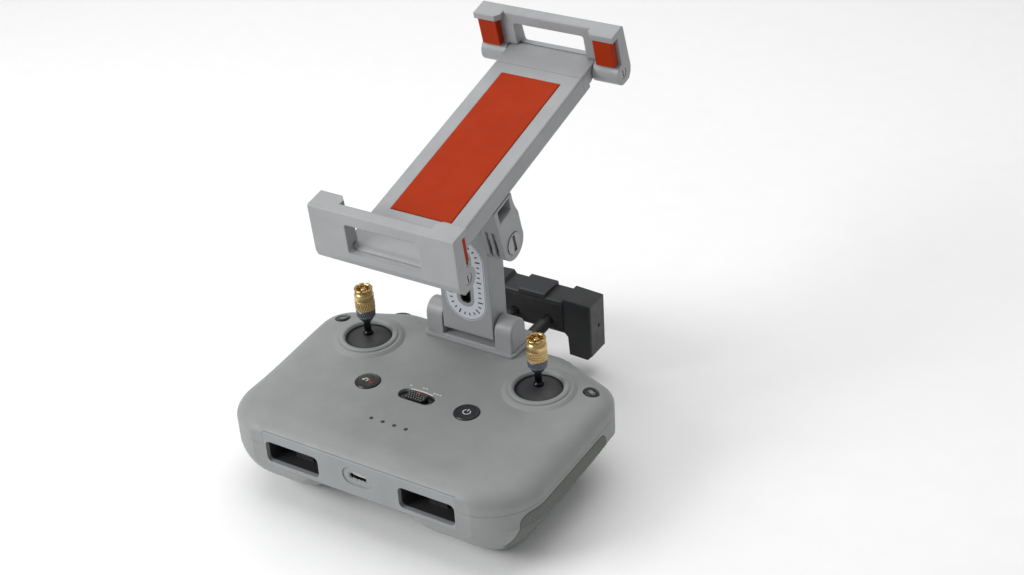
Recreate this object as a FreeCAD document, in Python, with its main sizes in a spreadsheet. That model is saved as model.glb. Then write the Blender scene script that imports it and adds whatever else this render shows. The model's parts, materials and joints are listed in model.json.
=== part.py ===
"""Handheld radio transmitter controller with a fold-up tablet bracket.

Millimetres. The origin is the middle of the controller's footprint on the plane that its
grips rest on. +X is the user's right, +Y points away from the user and +Z is up.
The tray of the tablet bracket is drawn flat, with its long side along Y and its top face
at z = 0, and then placed at its viewing tilt.
"""
import FreeCAD, Part
import math
import os
import re

import Sketcher
from FreeCAD import Matrix, Placement, Rotation, Vector

# ---------------------------------------------------------------- driving dimensions
SIZES = {
    # casing
    "body_wide": 150.0,
    "body_deep": 104.0,
    "body_top": 43.0,
    "seam_level": 32.5,
    "belly_level": 21.7,
    "casing_wall": 2.2,
    "front_corner": 25.5,
    "rear_corner": 16.0,
    "slant_corner": 14.0,
    "slant_start": 40.0,
    "slant_drop": 14.0,
    "front_lip": 0.5,
    "belly_half": 49.0,
    "side_roll": 18.0,
    "front_roll": 12.0,
    "rear_roll": 13.0,
    "roll_block": 20.0,
    "part_gap": 0.1,
    # front panel, its two pockets and the charging port
    "panel_half": 48.0,
    "panel_top": 39.1,
    "panel_bottom": 21.9,
    "panel_thick": 2.2,
    "pocket_inner": 20.1,
    "pocket_outer": 47.3,
    "pocket_low": 24.1,
    "pocket_high": 34.7,
    "pocket_deep": 13.0,
    "pocket_wall": 0.9,
    "port_level": 31.6,
    "port_wide": 8.9,
    "port_tall": 3.2,
    "port_long": 7.3,
    "dish_wide": 15.2,
    "dish_tall": 8.8,
    "dish_deep": 0.5,
    # circuit board and battery, inside
    "board_low": 33.4,
    "board_high": 35.0,
    "battery_inner": 38.5,
    "battery_outer": 56.0,
    "battery_front": -31.0,
    "battery_back": 3.0,
    "battery_low": 7.2,
    "battery_high": 19.5,
    # case screws
    "screw_x": 16.6,
    "screw_front": -43.0,
    "screw_back": 45.5,
    "screw_head": 2.1,
    "screw_shank": 1.1,
    # side grips
    "pad_low": 8.0,
    "pad_high": 30.4,
    "pad_front": -41.0,
    "pad_back": 23.0,
    "pad_corner": 5.0,
    "pad_proud": 0.25,
    "pad_sunk": 1.0,
    # gimbals and sticks
    "stick_x": 44.0,
    "stick_y": 21.7,
    "ball_radius": 19.5,
    "ball_level": 26.3,
    "ball_shell": 1.2,
    "ball_rim_angle": 38.0,
    "bezel_seat": 12.1,
    "bezel_outer": 13.3,
    "bezel_inner": 10.5,
    "swell_radius": 17.5,
    "swell_top": 44.3,
    "ring_outer": 11.5,
    "ring_inner": 9.5,
    "ring_tall": 4.0,
    "pivot_radius": 1.4,
    "pivot_gap": 0.05,
    "shaft_radius": 1.7,
    # buttons
    "button_x": 25.2,
    "button_y": -6.1,
    "button_radius": 5.5,
    "button_proud": 0.5,
    "small_button_x": 64.6,
    "small_button_y": 30.2,
    "small_button_radius": 3.4,
    "small_button_lean": 24.0,
    "small_button_turn": 35.0,
    "slider_wide": 17.4,
    "slider_deep": 7.0,
    "thumb_half": 4.6,
    "thumb_deep": 5.8,
    "light_pitch": 5.8,
    "light_y": -27.3,
    "light_radius": 0.85,
    "dial_x": 44.4,
    "dial_y": 46.9,
    "dial_radius": 6.3,
    "dial_low": 29.2,
    "dial_high": 37.6,
    "shutter_low": 31.2,
    "shutter_high": 43.2,
    # phone holder
    "rod_x": 9.0,
    "rod_level": 28.0,
    "rod_radius": 1.9,
    "sleeve_radius": 3.3,
    "holder_front": 90.0,
    "holder_back": 103.5,
    "holder_half": 31.0,
    "holder_top": 41.0,
    # bracket base and arm
    "base_half": 23.2,
    "base_front": 35.4,
    "base_back": 55.3,
    "base_top": 45.6,
    "base_lip": 44.7,
    "base_low": 43.15,
    "base_pad_half": 21.0,
    "base_pad_front": 36.6,
    "base_pad_back": 44.0,
    "hinge_y": 42.5,
    "hinge_level": 53.6,
    "knuckle_radius": 6.0,
    "knuckle_inner": 13.6,
    "knuckle_outer": 22.2,
    "hinge_pin_half": 20.9,
    "hinge_pin_radius": 2.0,
    "arm_half": 12.8,
    "arm_thick": 12.0,
    "arm_top": 108.0,
    "arm_bottom": 49.0,
    "label_half": 10.7,
    "slot_half": 2.7,
    "slot_low": 65.4,
    "slot_high": 91.6,
    "label_low": 56.7,
    "label_high": 98.1,
    "tilt_y": 43.3,
    "tilt_level": 98.0,
    "ear_radius": 8.0,
    "ear_inner": 13.2,
    "ear_outer": 22.2,
    "bolt_radius": 2.5,
    "bolt_head": 4.9,
    # tray, drawn flat
    "tray_tilt": 13.34,
    "tray_level": 121.3,
    "tray_half": 22.0,
    "tray_thick": 9.3,
    "tray_seam": 109.6,
    "tongue_half": 17.0,
    "pad_half": 14.8,
    "mat_front": 9.4,
    "mat_back": 102.9,
    "jaw_pivot_front": -12.0,
    "jaw_pivot_back": 122.8,
    "jaw_pivot_drop": 4.5,
    "lower_jaw_lean": 4.8,
    "jaw_half": 34.8,
    "jaw_top": 17.6,
    "jaw_window_half": 17.6,
    "barrel_radius": 5.3,
    "nose_radius": 4.5,
    "nose_half": 21.7,
    "jaw_ends": 22.2,
    "pin_radius": 1.5,
    "pin_head": 2.4,
    "pin_end": 33.5,
    "grip_inner": 24.2,
    "grip_outer": 33.6,
    "post_inner": 25.4,
    "post_outer": 32.6,
}

doc = FreeCAD.newDocument("Controller")
sheet = doc.addObject("Spreadsheet::Sheet", "Sizes")
for row, (alias, size) in enumerate(SIZES.items(), start=1):
    sheet.set(f"A{row}", alias.replace("_", " "))
    sheet.set(f"B{row}", str(size))
    sheet.setAlias(f"B{row}", alias)
doc.recompute()

SUBPARTS = []
FRAME_LOW = 18.4
FRAME_REACH = 15.2
FRAME_TOP = 36.5
AXIS_TURN = {
    "x": Rotation(Vector(0, 1, 0), 90),
    "y": Rotation(Vector(1, 0, 0), -90),
    "z": Rotation(),
}
PLANE_ROLE = {"x": "YZ_Plane", "y": "XZ_Plane", "z": "XY_Plane"}


# ---------------------------------------------------------------- helpers
def size(alias):
    """A driving dimension, read from the sheet."""
    return float(sheet.get(alias))


def formula(text):
    """The same formula with every driving dimension pointing at the sheet."""
    def link(match):
        word = match.group(0)
        return "Sizes." + word if word in SIZES else word
    return re.sub(r"[a-z][a-z_]+", link, str(text))


def bind(item, path, text):
    item.setExpression(path, formula(text))


def place(item, x=0, y=0, z=0):
    """Bind an object's place to three formulas."""
    for letter, text in zip("xyz", (x, y, z)):
        bind(item, "Placement.Base." + letter, text)
    return item


def block(name, x, y, z):
    """A box between three (low, high) pairs of formulas."""
    item = doc.addObject("Part::Box", name)
    for side, (low, high) in zip(("Length", "Width", "Height"), (x, y, z)):
        bind(item, side, f"({high}) - ({low})")
    return place(item, x[0], y[0], z[0])


def cylinder(name, axis, radius, centre, span):
    """A cylinder along an axis; centre gives its other two coordinates in x, y, z order."""
    item = doc.addObject("Part::Cylinder", name)
    item.Placement = Placement(Vector(), AXIS_TURN[axis])
    bind(item, "Radius", radius)
    bind(item, "Height", f"({span[1]}) - ({span[0]})")
    spot = list(centre)
    spot.insert("xyz".index(axis), span[0])
    return place(item, *spot)


def fuse(name, *pieces):
    item = doc.addObject("Part::MultiFuse", name)
    item.Shapes = list(pieces)
    return item


def common(name, *pieces):
    item = doc.addObject("Part::MultiCommon", name)
    item.Shapes = list(pieces)
    return item


def cut(name, base, *tools):
    item = doc.addObject("Part::Cut", name)
    item.Base = base
    item.Tool = tools[0] if len(tools) == 1 else fuse(name + "_tools", *tools)
    return item


def group(name, *pieces):
    """Several separate solids kept as one sub-part."""
    item = doc.addObject("Part::Compound", name)
    item.Links = list(pieces)
    return item


def mirrored(name, source, normal=(1, 0, 0), base=(0, 0, 0)):
    item = doc.addObject("Part::Mirroring", name)
    item.Source = source
    item.Normal = Vector(*normal)
    item.Base = Vector(*base)
    return item


def solid(name, shape):
    """A sub-part whose shape comes from Part's own functions."""
    item = doc.addObject("Part::Feature", name)
    item.Shape = shape
    return item


def rounded(name, base, radius, chosen):
    """Fillet the edges of base that the test picks."""
    doc.recompute()
    item = doc.addObject("Part::Fillet", name)
    item.Base = base
    edges = [i for i, edge in enumerate(base.Shape.Edges, start=1) if chosen(edge)]
    item.Edges = [(i, radius, radius) for i in edges]
    return item


def straight_along(letter):
    """A test for straight edges that run along one axis."""
    def test(edge):
        if edge.Curve.TypeId != "Part::GeomLine":
            return False
        return abs(abs(getattr(edge.tangentAt(edge.FirstParameter), letter)) - 1) < 1e-6
    return test


def outlined(name, axis, points, span, roundings=()):
    """A PartDesign body: an outline padded along one axis between two levels.

    points are pairs of formulas: (y, z) for axis x, (x, z) for axis y, (x, y) for axis z.
    roundings are (radius, edge test) pairs, filleted one after another.
    """
    body = doc.addObject("PartDesign::Body", name)
    sketch = body.newObject("Sketcher::SketchObject", name + "_outline")
    role = PLANE_ROLE[axis]
    plane = [f for f in body.Origin.OriginFeatures if f.Role == role][0]
    sketch.AttachmentSupport = [(plane, "")]
    sketch.MapMode = "FlatFace"
    start = f"-({span[1]})" if axis == "y" else span[0]
    bind(sketch, "AttachmentOffset.Base.z", start)
    rough = [Vector(math.cos(2 * math.pi * i / len(points)), math.sin(2 * math.pi * i / len(points)), 0)
             for i in range(len(points))]
    for i, corner in enumerate(rough):
        sketch.addGeometry(Part.LineSegment(corner, rough[(i + 1) % len(rough)]), False)
    for i in range(len(points)):
        sketch.addConstraint(Sketcher.Constraint("Coincident", i, 2, (i + 1) % len(points), 1))
    for i, point in enumerate(points):
        for kind, text in zip(("DistanceX", "DistanceY"), point):
            number = sketch.addConstraint(Sketcher.Constraint(kind, -1, 1, i, 1, 1.0))
            bind(sketch, f"Constraints[{number}]", text)
    pad = body.newObject("PartDesign::Pad", name + "_pad")
    pad.Profile = sketch
    bind(pad, "Length", f"({span[1]}) - ({span[0]})")
    doc.recompute()
    feature = pad
    for number, (radius, chosen) in enumerate(roundings):
        edges = [f"Edge{i}" for i, e in enumerate(feature.Shape.Edges, start=1) if chosen(e)]
        fillet = body.newObject("PartDesign::Fillet", f"{name}_round{number}")
        fillet.Base = (feature, edges)
        bind(fillet, "Radius", radius)
        doc.recompute()
        feature = fillet
    return body


def turned(name, profile, centre):
    """A solid of revolution about a vertical axis; profile points are (radius, level) numbers."""
    points = [Vector(radius, 0, level) for radius, level in profile]
    face = Part.Face(Part.makePolygon(points + points[:1]))
    shape = face.revolve(Vector(), Vector(0, 0, 1), 360)
    item = solid(name, shape)
    return place(item, centre[0], centre[1], 0)


def keep(node, item):
    """Name an object as a sub-part of the finished assembly."""
    item.Label = node
    SUBPARTS.append((node, item))
    return item


def both_sides(stem, item):
    """Keep a right-hand piece and its mirror image."""
    keep("right_" + stem, item)
    keep("left_" + stem, mirrored("Left_" + stem, item))


# ---------------------------------------------------------------- casing
def rounded_outline(corners, level):
    """A closed wire through (x, y, radius) corners, each rounded by its own radius."""
    rounds = []
    for i, (x, y, radius) in enumerate(corners):
        corner = Vector(x, y, level)
        before = Vector(*corners[i - 1][:2], level) - corner
        after = Vector(*corners[(i + 1) % len(corners)][:2], level) - corner
        before.normalize()
        after.normalize()
        half = before.getAngle(after) / 2
        reach = radius / math.tan(half)
        bisector = before + after
        bisector.normalize()
        middle = corner + bisector * (radius / math.sin(half) - radius)
        rounds.append((corner + before * reach, middle, corner + after * reach))
    edges = []
    for i, (start, middle, end) in enumerate(rounds):
        edges.append(Part.Arc(start, middle, end).toShape())
        edges.append(Part.makeLine(end, rounds[(i + 1) % len(rounds)][0]))
    return Part.Wire(edges)


def casing_corners(inset):
    """The casing seen from above, moved inwards by inset."""
    side = size("body_wide") / 2 - inset
    front = -size("body_deep") / 2 - size("front_lip") + inset
    back = size("body_deep") / 2 - inset
    shoulder = size("slant_start") - inset * 0.4
    bend = back - size("slant_drop")
    right = [
        (side, front, size("front_corner") - inset),
        (side, bend, size("rear_corner") - inset),
        (shoulder, back, size("slant_corner") - inset),
    ]
    left = [(-x, y, radius) for x, y, radius in reversed(right)]
    return right + left


def casing_prism(inset, low, high):
    wire = rounded_outline(casing_corners(inset), low)
    return Part.Face(wire).extrude(Vector(0, 0, high - low))


def front_slab(front, low, high):
    """Everything in front of a plane across the casing."""
    half = size("body_wide")
    return Part.makeBox(2 * half, 50, high - low, Vector(-half, front - 50, low))


def rolled_block(inset):
    """The top half as a solid: its upper edges roll over, flatter than a quarter circle."""
    tall = size("roll_block")
    prism = casing_prism(inset, 0, tall)
    side, front, rear = (size(a) - inset for a in ("side_roll", "front_roll", "rear_roll"))

    def roll(point):
        if point.y < -size("body_deep") / 2 + inset:
            return front
        if point.y < 0:
            return side
        return rear if abs(point.x) < size("body_wide") / 2 - inset - 0.1 else 0.72 * side

    whole = solid("Roll_block_base", prism)
    fillet = doc.addObject("Part::Fillet", "Roll_block_fillet")
    fillet.Base = whole
    rims = []
    for number, edge in enumerate(prism.Edges, start=1):
        ends = [vertex.Point for vertex in edge.Vertexes]
        if all(abs(end.z - tall) < 1e-6 for end in ends):
            start = edge.valueAt(edge.FirstParameter)
            finish = edge.valueAt(edge.LastParameter)
            rims.append((number, roll(start), roll(finish)))
    fillet.Edges = rims
    doc.recompute()
    squash = Matrix()
    rise = size("body_top") - size("seam_level")
    squash.scale(Vector(1, 1, rise / tall))
    shape = fillet.Shape.transformGeometry(squash)
    for item in (fillet, whole):
        doc.removeObject(item.Name)
    shape.translate(Vector(0, 0, size("seam_level") - inset * (1 if inset else 0)))
    return shape


def swell():
    """The low mound around one stick opening."""
    top = size("swell_top")
    base = size("body_top") - 1.2
    outer = size("swell_radius")
    inner = size("bezel_outer") + 0.4
    rise = [Vector(outer, 0, size("body_top") - 0.15), Vector(outer - 1.6, 0, size("body_top") + 0.25),
            Vector(inner + 0.9, 0, top - 0.12), Vector(inner, 0, top)]
    curve = Part.BSplineCurve()
    curve.interpolate(rise)
    edges = [curve.toShape(),
             Part.makeLine(rise[-1], Vector(8, 0, top)),
             Part.makeLine(Vector(8, 0, top), Vector(8, 0, base)),
             Part.makeLine(Vector(8, 0, base), Vector(outer, 0, base)),
             Part.makeLine(Vector(outer, 0, base), rise[0])]
    return Part.Face(Part.Wire(edges)).revolve(Vector(), Vector(0, 0, 1), 360)


def upright(radius, x, y, low, high):
    return Part.makeCylinder(radius, high - low, Vector(x, y, low))


def stadium(length, width, low, high, x=0, y=0):
    """An upright slot shape with round ends, long side along X."""
    radius = width / 2
    middle = length / 2 - radius
    bar = Part.makeBox(2 * middle, width, high - low, Vector(x - middle, y - radius, low))
    ends = [upright(radius, x + side * middle, y, low, high) for side in (-1, 1)]
    return bar.fuse(ends).removeSplitter()


def lean_placement(side):
    """The seat of one small shoulder button: its axis leans outwards and back."""
    x = side * size("small_button_x")
    turn = size("small_button_turn")
    heading = turn if side > 0 else 180 - turn
    spin = Rotation(Vector(0, 0, 1), heading) * Rotation(Vector(0, 1, 0), size("small_button_lean"))
    return Placement(Vector(x, size("small_button_y"), SMALL_BUTTON_LEVEL), spin)


def leaning(shape, side):
    moved = shape.copy()
    moved.Placement = lean_placement(side)
    return moved


def rear_windows(gap):
    """The windows in the rear shoulders for the dial (left) and the shutter button (right)."""
    low = size("dial_low") - gap
    tall = size("dial_high") - low + gap
    back = size("body_deep") / 2 - 11.5
    radius = size("dial_radius")
    below = 1.3
    dial = Part.makeBox(2 * radius + 2 * gap, 20, tall + below,
                        Vector(-size("dial_x") - radius - gap, back, low - below))
    wide = size("shutter_high") - size("shutter_low") + 2 * gap
    shutter = Part.makeBox(wide, 20, tall - 0.8, Vector(size("shutter_low") - gap, back, low))
    return [dial, shutter]


def ball_sphere(radius, side):
    centre = Vector(side * size("stick_x"), size("stick_y"), size("ball_level"))
    return Part.makeSphere(radius, centre)


def panel_recess():
    """The hole in both casing halves that the front panel closes."""
    gap = size("part_gap")
    half = size("panel_half") + gap / 2
    low = size("panel_bottom") - gap
    tall = size("panel_top") + gap - low
    back = -size("body_deep") / 2 + size("panel_thick") + gap
    return Part.makeBox(2 * half, 20, tall, Vector(-half, back - 20, low))


def gimbal_leg_spots():
    """Where the four legs of each gimbal frame meet the top shell."""
    return [(side * size("stick_x") + dx, size("stick_y") + dy)
            for side in (-1, 1) for dx in (-FRAME_REACH, FRAME_REACH) for dy in (-FRAME_REACH, FRAME_REACH)]


def build_top_shell():
    low = size("seam_level")
    shape = rolled_block(0)
    for side in (-1, 1):
        mound = swell()
        mound.translate(Vector(side * size("stick_x"), size("stick_y"), 0))
        shape = shape.fuse(mound)
    hollow = rolled_block(size("casing_wall"))
    shell = shape.cut(hollow)
    core = rolled_block(1.0)
    for x, y in gimbal_leg_spots():
        shell = shell.fuse(upright(2.4, x, y, FRAME_TOP, 50).common(core))
    openings = [front_slab(-size("body_deep") / 2, 0, 60), panel_recess()]
    openings += rear_windows(0.25)
    for side in (-1, 1):
        openings.append(ball_sphere(size("ball_radius") + 0.5, side))
        x = side * size("stick_x")
        openings.append(upright(size("bezel_seat") + 0.1, x, size("stick_y"), low, 50))
        x = side * size("button_x")
        openings.append(upright(size("button_radius") + 0.25, x, size("button_y"), low, 50))
        small = Part.makeCylinder(size("small_button_radius") + 0.2, 16, Vector(0, 0, -8))
        openings.append(leaning(small, side))
        flange = Part.makeCylinder(size("small_button_radius") + 1.1, 8, Vector(0, 0, -10.2))
        openings.append(leaning(flange, side))
    wide = size("slider_wide") + 0.3
    openings.append(stadium(wide, size("slider_deep") + 0.3, low, 50, y=size("button_y")))
    for number in range(4):
        x = (number - 1.5) * size("light_pitch")
        openings.append(upright(size("light_radius") + 0.05, x, size("light_y"), low, 50))
    keep("top_shell", solid("Top_shell", shell.cut(openings).removeSplitter()))


GRIP_SECTIONS = (
    # level, then the inner, outer, front and outer-back edges and the front-outer corner radius
    (24.0, 20.0, 75.0, -52.5, 36.0, 25.5),
    (14.0, 24.5, 69.0, -48.2, 33.0, 19.0),
    (7.0, 30.0, 64.5, -41.5, 30.0, 14.0),
    (2.4, 36.0, 61.0, -37.0, 26.0, 12.0),
    (0.0, 42.0, 58.5, -33.5, 20.0, 9.5),
)
GRIP_RIM = 24.0


def grip_bulge(inset):
    """One hand grip under the right side, lofted through rounded sections."""
    wires = []
    for level, inner, outer, front, back, corner in GRIP_SECTIONS:
        depth = inset * (1 - level / GRIP_RIM)
        fine = min(corner - 3, 9.0) - inset
        corners = [(inner + inset, front + inset, fine),
                   (outer - inset, front + inset, corner - inset),
                   (outer - inset, back - inset, fine),
                   (inner + inset, back + 0.2 * (outer - inner) - inset, fine)]
        wires.append(rounded_outline(corners, level + depth))
    return Part.makeLoft(wires, True, False)


def both_grips(inset):
    right = grip_bulge(inset)
    left = right.mirror(Vector(), Vector(1, 0, 0))
    return [right, left]


SCREW_SPOTS = [(side * size("screw_x"), y) for side in (-1, 1)
               for y in (size("screw_front"), size("screw_back"))]


def build_bottom_shell():
    wall = size("casing_wall")
    seam = size("seam_level") - size("part_gap")
    floor = size("belly_level")

    def belly(inset):
        half = size("belly_half") - inset
        middle = Part.makeBox(2 * half, 2 * size("body_deep"), seam, Vector(-half, -size("body_deep"), 0))
        return casing_prism(inset, floor + inset, seam).common(middle)

    shape = casing_prism(0, GRIP_RIM, seam).fuse([belly(0)] + both_grips(0))
    hollow = casing_prism(wall, GRIP_RIM + wall, seam + 1).fuse([belly(wall)] + both_grips(wall))
    throat = Part.makeBox(44, 72, 2 * wall, Vector(26, -40, GRIP_RIM - wall))
    hollow = hollow.fuse([throat, throat.mirror(Vector(), Vector(1, 0, 0))])
    openings = [front_slab(-size("body_deep") / 2, -5, 60), panel_recess()]
    openings += rear_windows(0.25)
    openings += pad_shells(size("pad_sunk") + 0.1, -1.0, 0.1)
    for x in (-size("rod_x"), size("rod_x")):
        openings.append(Part.makeCylinder(size("sleeve_radius") + 1.2, 30,
                                          Vector(x, 35.9, size("rod_level")), Vector(0, 1, 0)))
    for x, y in SCREW_SPOTS:
        openings.append(upright(size("screw_shank") + 0.15, x, y, 0, 30))
        openings.append(upright(size("screw_head") + 0.2, x, y, 15, size("belly_level") + 1.4))
    reach = FRAME_REACH + 1.9
    pocket = size("pocket_wall") + 0.1
    wide = size("pocket_outer") - size("pocket_inner") + 2 * pocket
    for side in (-1, 1):
        openings.append(ball_sphere(size("ball_radius") + 0.5, side))
        corner = Vector(side * size("stick_x") - reach, size("stick_y") - reach, FRAME_LOW - 0.2)
        openings.append(Part.makeBox(2 * reach, 2 * reach, 30, corner))
        middle = side * (size("pocket_inner") + size("pocket_outer")) / 2
        corner = Vector(middle - wide / 2, -size("body_deep") / 2 + size("panel_thick"),
                        size("pocket_low") - pocket)
        openings.append(Part.makeBox(wide, size("pocket_deep") + 0.1, 20, corner))
    keep("bottom_shell", solid("Bottom_shell", shape.cut([hollow] + openings).removeSplitter()))


def pad_shells(depth, proud, gap):
    """The two side pads: the casing's skin from -proud to depth, inside a rounded window."""
    def skin(inset):
        shell = casing_prism(inset, GRIP_RIM, size("seam_level"))
        return shell.fuse(both_grips(inset))

    reach = size("pad_back") - size("pad_front") + 2 * gap
    tall = size("pad_high") - size("pad_low") + 2 * gap
    start = Vector(48, size("pad_front") - gap, size("pad_low") - gap)
    window = Part.makeBox(40, reach, tall, start)
    ends = [edge for edge in window.Edges if straight_along("x")(edge)]
    window = window.makeFillet(size("pad_corner"), ends)
    right = skin(proud).cut(skin(depth)).common(window)
    return [right, right.mirror(Vector(), Vector(1, 0, 0))]


def build_side_grips():
    right = pad_shells(size("pad_sunk"), -size("pad_proud"), 0)[0]
    both_sides("side_grip", solid("Right_grip_pad", right))


def build_front_panel():
    half = "body_deep / 2"
    panel = block("Panel_plate", ("-panel_half", "panel_half"), (f"-{half}", f"-{half} + panel_thick"),
                  ("panel_bottom", "panel_top"))
    soft = rounded("Panel_soft", panel, 0.9, lambda e: straight_along("x")(e)
                   and e.CenterOfMass.y < -size("body_deep") / 2 + 0.1
                   and e.CenterOfMass.z > size("port_level"))
    tools = []
    for side, (low, high) in (("Right", ("pocket_inner", "pocket_outer")),
                              ("Left", ("-pocket_outer", "-pocket_inner"))):
        tools.append(outlined(side + "_slot", "y",
                              [(low, "pocket_low"), (high, "pocket_low"), (high, "pocket_high"),
                               (low, "pocket_high")],
                              (f"-{half} - 1", f"-{half} + panel_thick + 1"),
                              [("2.4", straight_along("y"))]))
    tools.append(flat_slot("Port_hole", "port_wide + 0.4", "port_tall + 0.4", "port_level",
                           (f"-{half} - 1", f"-{half} + panel_thick + 1")))
    tools.append(flat_slot("Port_dish", "dish_wide", "dish_tall", "port_level",
                           (f"-{half} - 1", f"-{half} + dish_deep")))
    keep("front_panel", cut("Front_panel", soft, *tools))


def flat_slot(name, wide, tall, level, span):
    """A slot with round ends, long side along X, running along Y."""
    reach = f"({wide}) / 2 - ({tall}) / 2"
    bar = block(name + "_bar", (f"-({reach})", reach), span,
                (f"{level} - ({tall}) / 2", f"{level} + ({tall}) / 2"))
    ends = [cylinder(f"{name}_end{i}", "y", f"({tall}) / 2", (f"{sign}({reach})", level), span)
            for i, sign in enumerate(("-", "+"))]
    return fuse(name, bar, *ends)


def build_pockets():
    front = "-body_deep / 2 + panel_thick"
    outer = outlined("Pocket_outer", "y",
                     [("pocket_inner - pocket_wall", "pocket_low - pocket_wall"),
                      ("pocket_outer + pocket_wall", "pocket_low - pocket_wall"),
                      ("pocket_outer + pocket_wall", "pocket_high + pocket_wall"),
                      ("pocket_inner - pocket_wall", "pocket_high + pocket_wall")],
                     (front, f"{front} + pocket_deep"), [("2", straight_along("y"))])
    inner = outlined("Pocket_inner", "y",
                     [("pocket_inner", "pocket_low"), ("pocket_outer", "pocket_low"),
                      ("pocket_outer", "pocket_high"), ("pocket_inner", "pocket_high")],
                     (f"{front} - 1", f"{front} + pocket_deep - pocket_wall"),
                     [("2.4", straight_along("y"))])
    tray = cut("Pocket_tray", outer, inner)
    middle = "(pocket_inner + pocket_outer) / 2"
    clip = block("Pocket_clip", (f"{middle} - 4.5", f"{middle} + 4.5"),
                 (f"{front} + 6", f"{front} + pocket_deep - 0.5"),
                 ("pocket_low - 0.4", "pocket_low + 3.4"))
    bore = cylinder("Pocket_bore", "x", "2.4", (f"{front} + 8.5", "pocket_low + 4.6"),
                    (f"{middle} - 6", f"{middle} + 6"))
    both_sides("stick_pocket", fuse("Stick_pocket", tray, cut("Pocket_cradle", clip, bore)))


def build_charging_port():
    mouth = "-body_deep / 2 + 0.7"
    shell = flat_slot("Port_shell", "port_wide", "port_tall", "port_level", (mouth, f"{mouth} + port_long"))
    bore = flat_slot("Port_bore", "port_wide - 0.6", "port_tall - 0.6", "port_level",
                     (f"{mouth} - 1", f"{mouth} + port_long - 1"))
    tongue = block("Port_tongue", ("-3.35", "3.35"), (f"{mouth} + 1", f"{mouth} + 6.35"),
                   ("port_level - 0.35", "port_level + 0.35"))
    keep("usb_port", fuse("Usb_port", cut("Port_case", shell, bore), tongue))


def build_board_and_battery():
    wide = block("Board_wide", ("-33", "33"), ("-36", "1"), ("board_low", "board_high"))
    nose = block("Board_nose", ("-18.6", "18.6"), ("-49", "-36"), ("board_low", "board_high"))
    tail = block("Board_tail", ("-19", "19"), ("1", "33"), ("board_low", "board_high"))
    keep("main_board", fuse("Main_board", wide, nose, tail))
    pack = outlined("Battery_right", "z",
                    [("battery_inner", "battery_front"), ("battery_outer", "battery_front"),
                     ("battery_outer", "battery_back"), ("battery_inner", "battery_back")],
                    ("battery_low", "battery_high"), [("2.5", straight_along("z"))])
    keep("battery_packs", group("Battery_packs", pack, mirrored("Battery_left", pack)))


def build_case_screws():
    heads = []
    for number, (x, y) in enumerate(SCREW_SPOTS):
        head = cylinder(f"Screw_head{number}", "z", "screw_head", (x, y),
                        ("belly_level + 0.2", "belly_level + 1.4"))
        shank = cylinder(f"Screw_shank{number}", "z", "screw_shank", (x, y),
                         ("belly_level + 1", "belly_level + 9"))
        drive = cylinder(f"Screw_drive{number}", "z", "0.9", (x, y),
                         ("belly_level - 1", "belly_level + 0.9"))
        heads.append(cut(f"Case_screw{number}", fuse(f"Screw_body{number}", head, shank), drive))
    keep("case_screws", group("Case_screws", *heads))


# ---------------------------------------------------------------- sticks
def build_bezel():
    inner = size("bezel_inner")
    seat = size("bezel_seat")
    outer = size("bezel_outer")
    top = size("swell_top")
    profile = [(inner, 43.2), (inner, 43.9), (inner + 0.5, top + 0.55), (inner + 1.2, top + 0.9),
               (outer - 0.7, top + 0.8), (outer, top + 0.3), (outer, top + 0.05), (seat, top + 0.05),
               (seat, 42.4), (seat - 0.7, 42.4)]
    both_sides("gimbal_bezel", turned("Gimbal_bezel", profile, ("stick_x", "stick_y")))


def build_gimbal_frame():
    centre = size("ball_level")
    low = FRAME_LOW
    reach = FRAME_REACH
    plate = block("Frame_plate", (f"stick_x - {reach} - 1.6", f"stick_x + {reach} + 1.6"),
                  (f"stick_y - {reach} - 1.6", f"stick_y + {reach} + 1.6"), (low, low + 1.6))
    pieces = [rounded("Frame_plate_soft", plate, 1.5, straight_along("z"))]
    for i, (right, back) in enumerate(((-1, -1), (1, -1), (1, 1), (-1, 1))):
        spot = (f"stick_x + {right * reach}", f"stick_y + {back * reach}")
        pieces.append(cylinder(f"Frame_leg{i}", "z", "1.5", spot, (low + 0.5, FRAME_TOP)))
    for i, side in enumerate((-1, 1)):
        near = f"stick_x + {12.5 if side > 0 else -15.5}"
        pieces.append(block(f"Frame_post{i}", (near, f"{near} + 3"), ("stick_y - 3.6", "stick_y + 3.6"),
                            (low + 0.5, centre + 3.2)))
    bore = cylinder("Frame_bore", "x", "pivot_radius + pivot_gap", ("stick_y", "ball_level"),
                    ("stick_x - 16", "stick_x + 16"))
    both_sides("gimbal_frame", cut("Gimbal_frame", fuse("Frame_body", *pieces), bore))


def build_gimbal_ring():
    span = ("ball_level - ring_tall / 2", "ball_level + ring_tall / 2")
    outer = cylinder("Ring_outer", "z", "ring_outer", ("stick_x", "stick_y"), span)
    inner = cylinder("Ring_inner", "z", "ring_inner", ("stick_x", "stick_y"), span)
    trunnions = cylinder("Ring_trunnions", "x", "pivot_radius", ("stick_y", "ball_level"),
                         ("stick_x - 15.3", "stick_x + 15.3"))
    bore = cylinder("Ring_bore", "y", "pivot_radius + pivot_gap", ("stick_x", "ball_level"),
                    ("stick_y - 13", "stick_y + 13"))
    both_sides("gimbal_ring", cut("Gimbal_ring", fuse("Ring_body", outer, trunnions), inner, bore))


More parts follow.
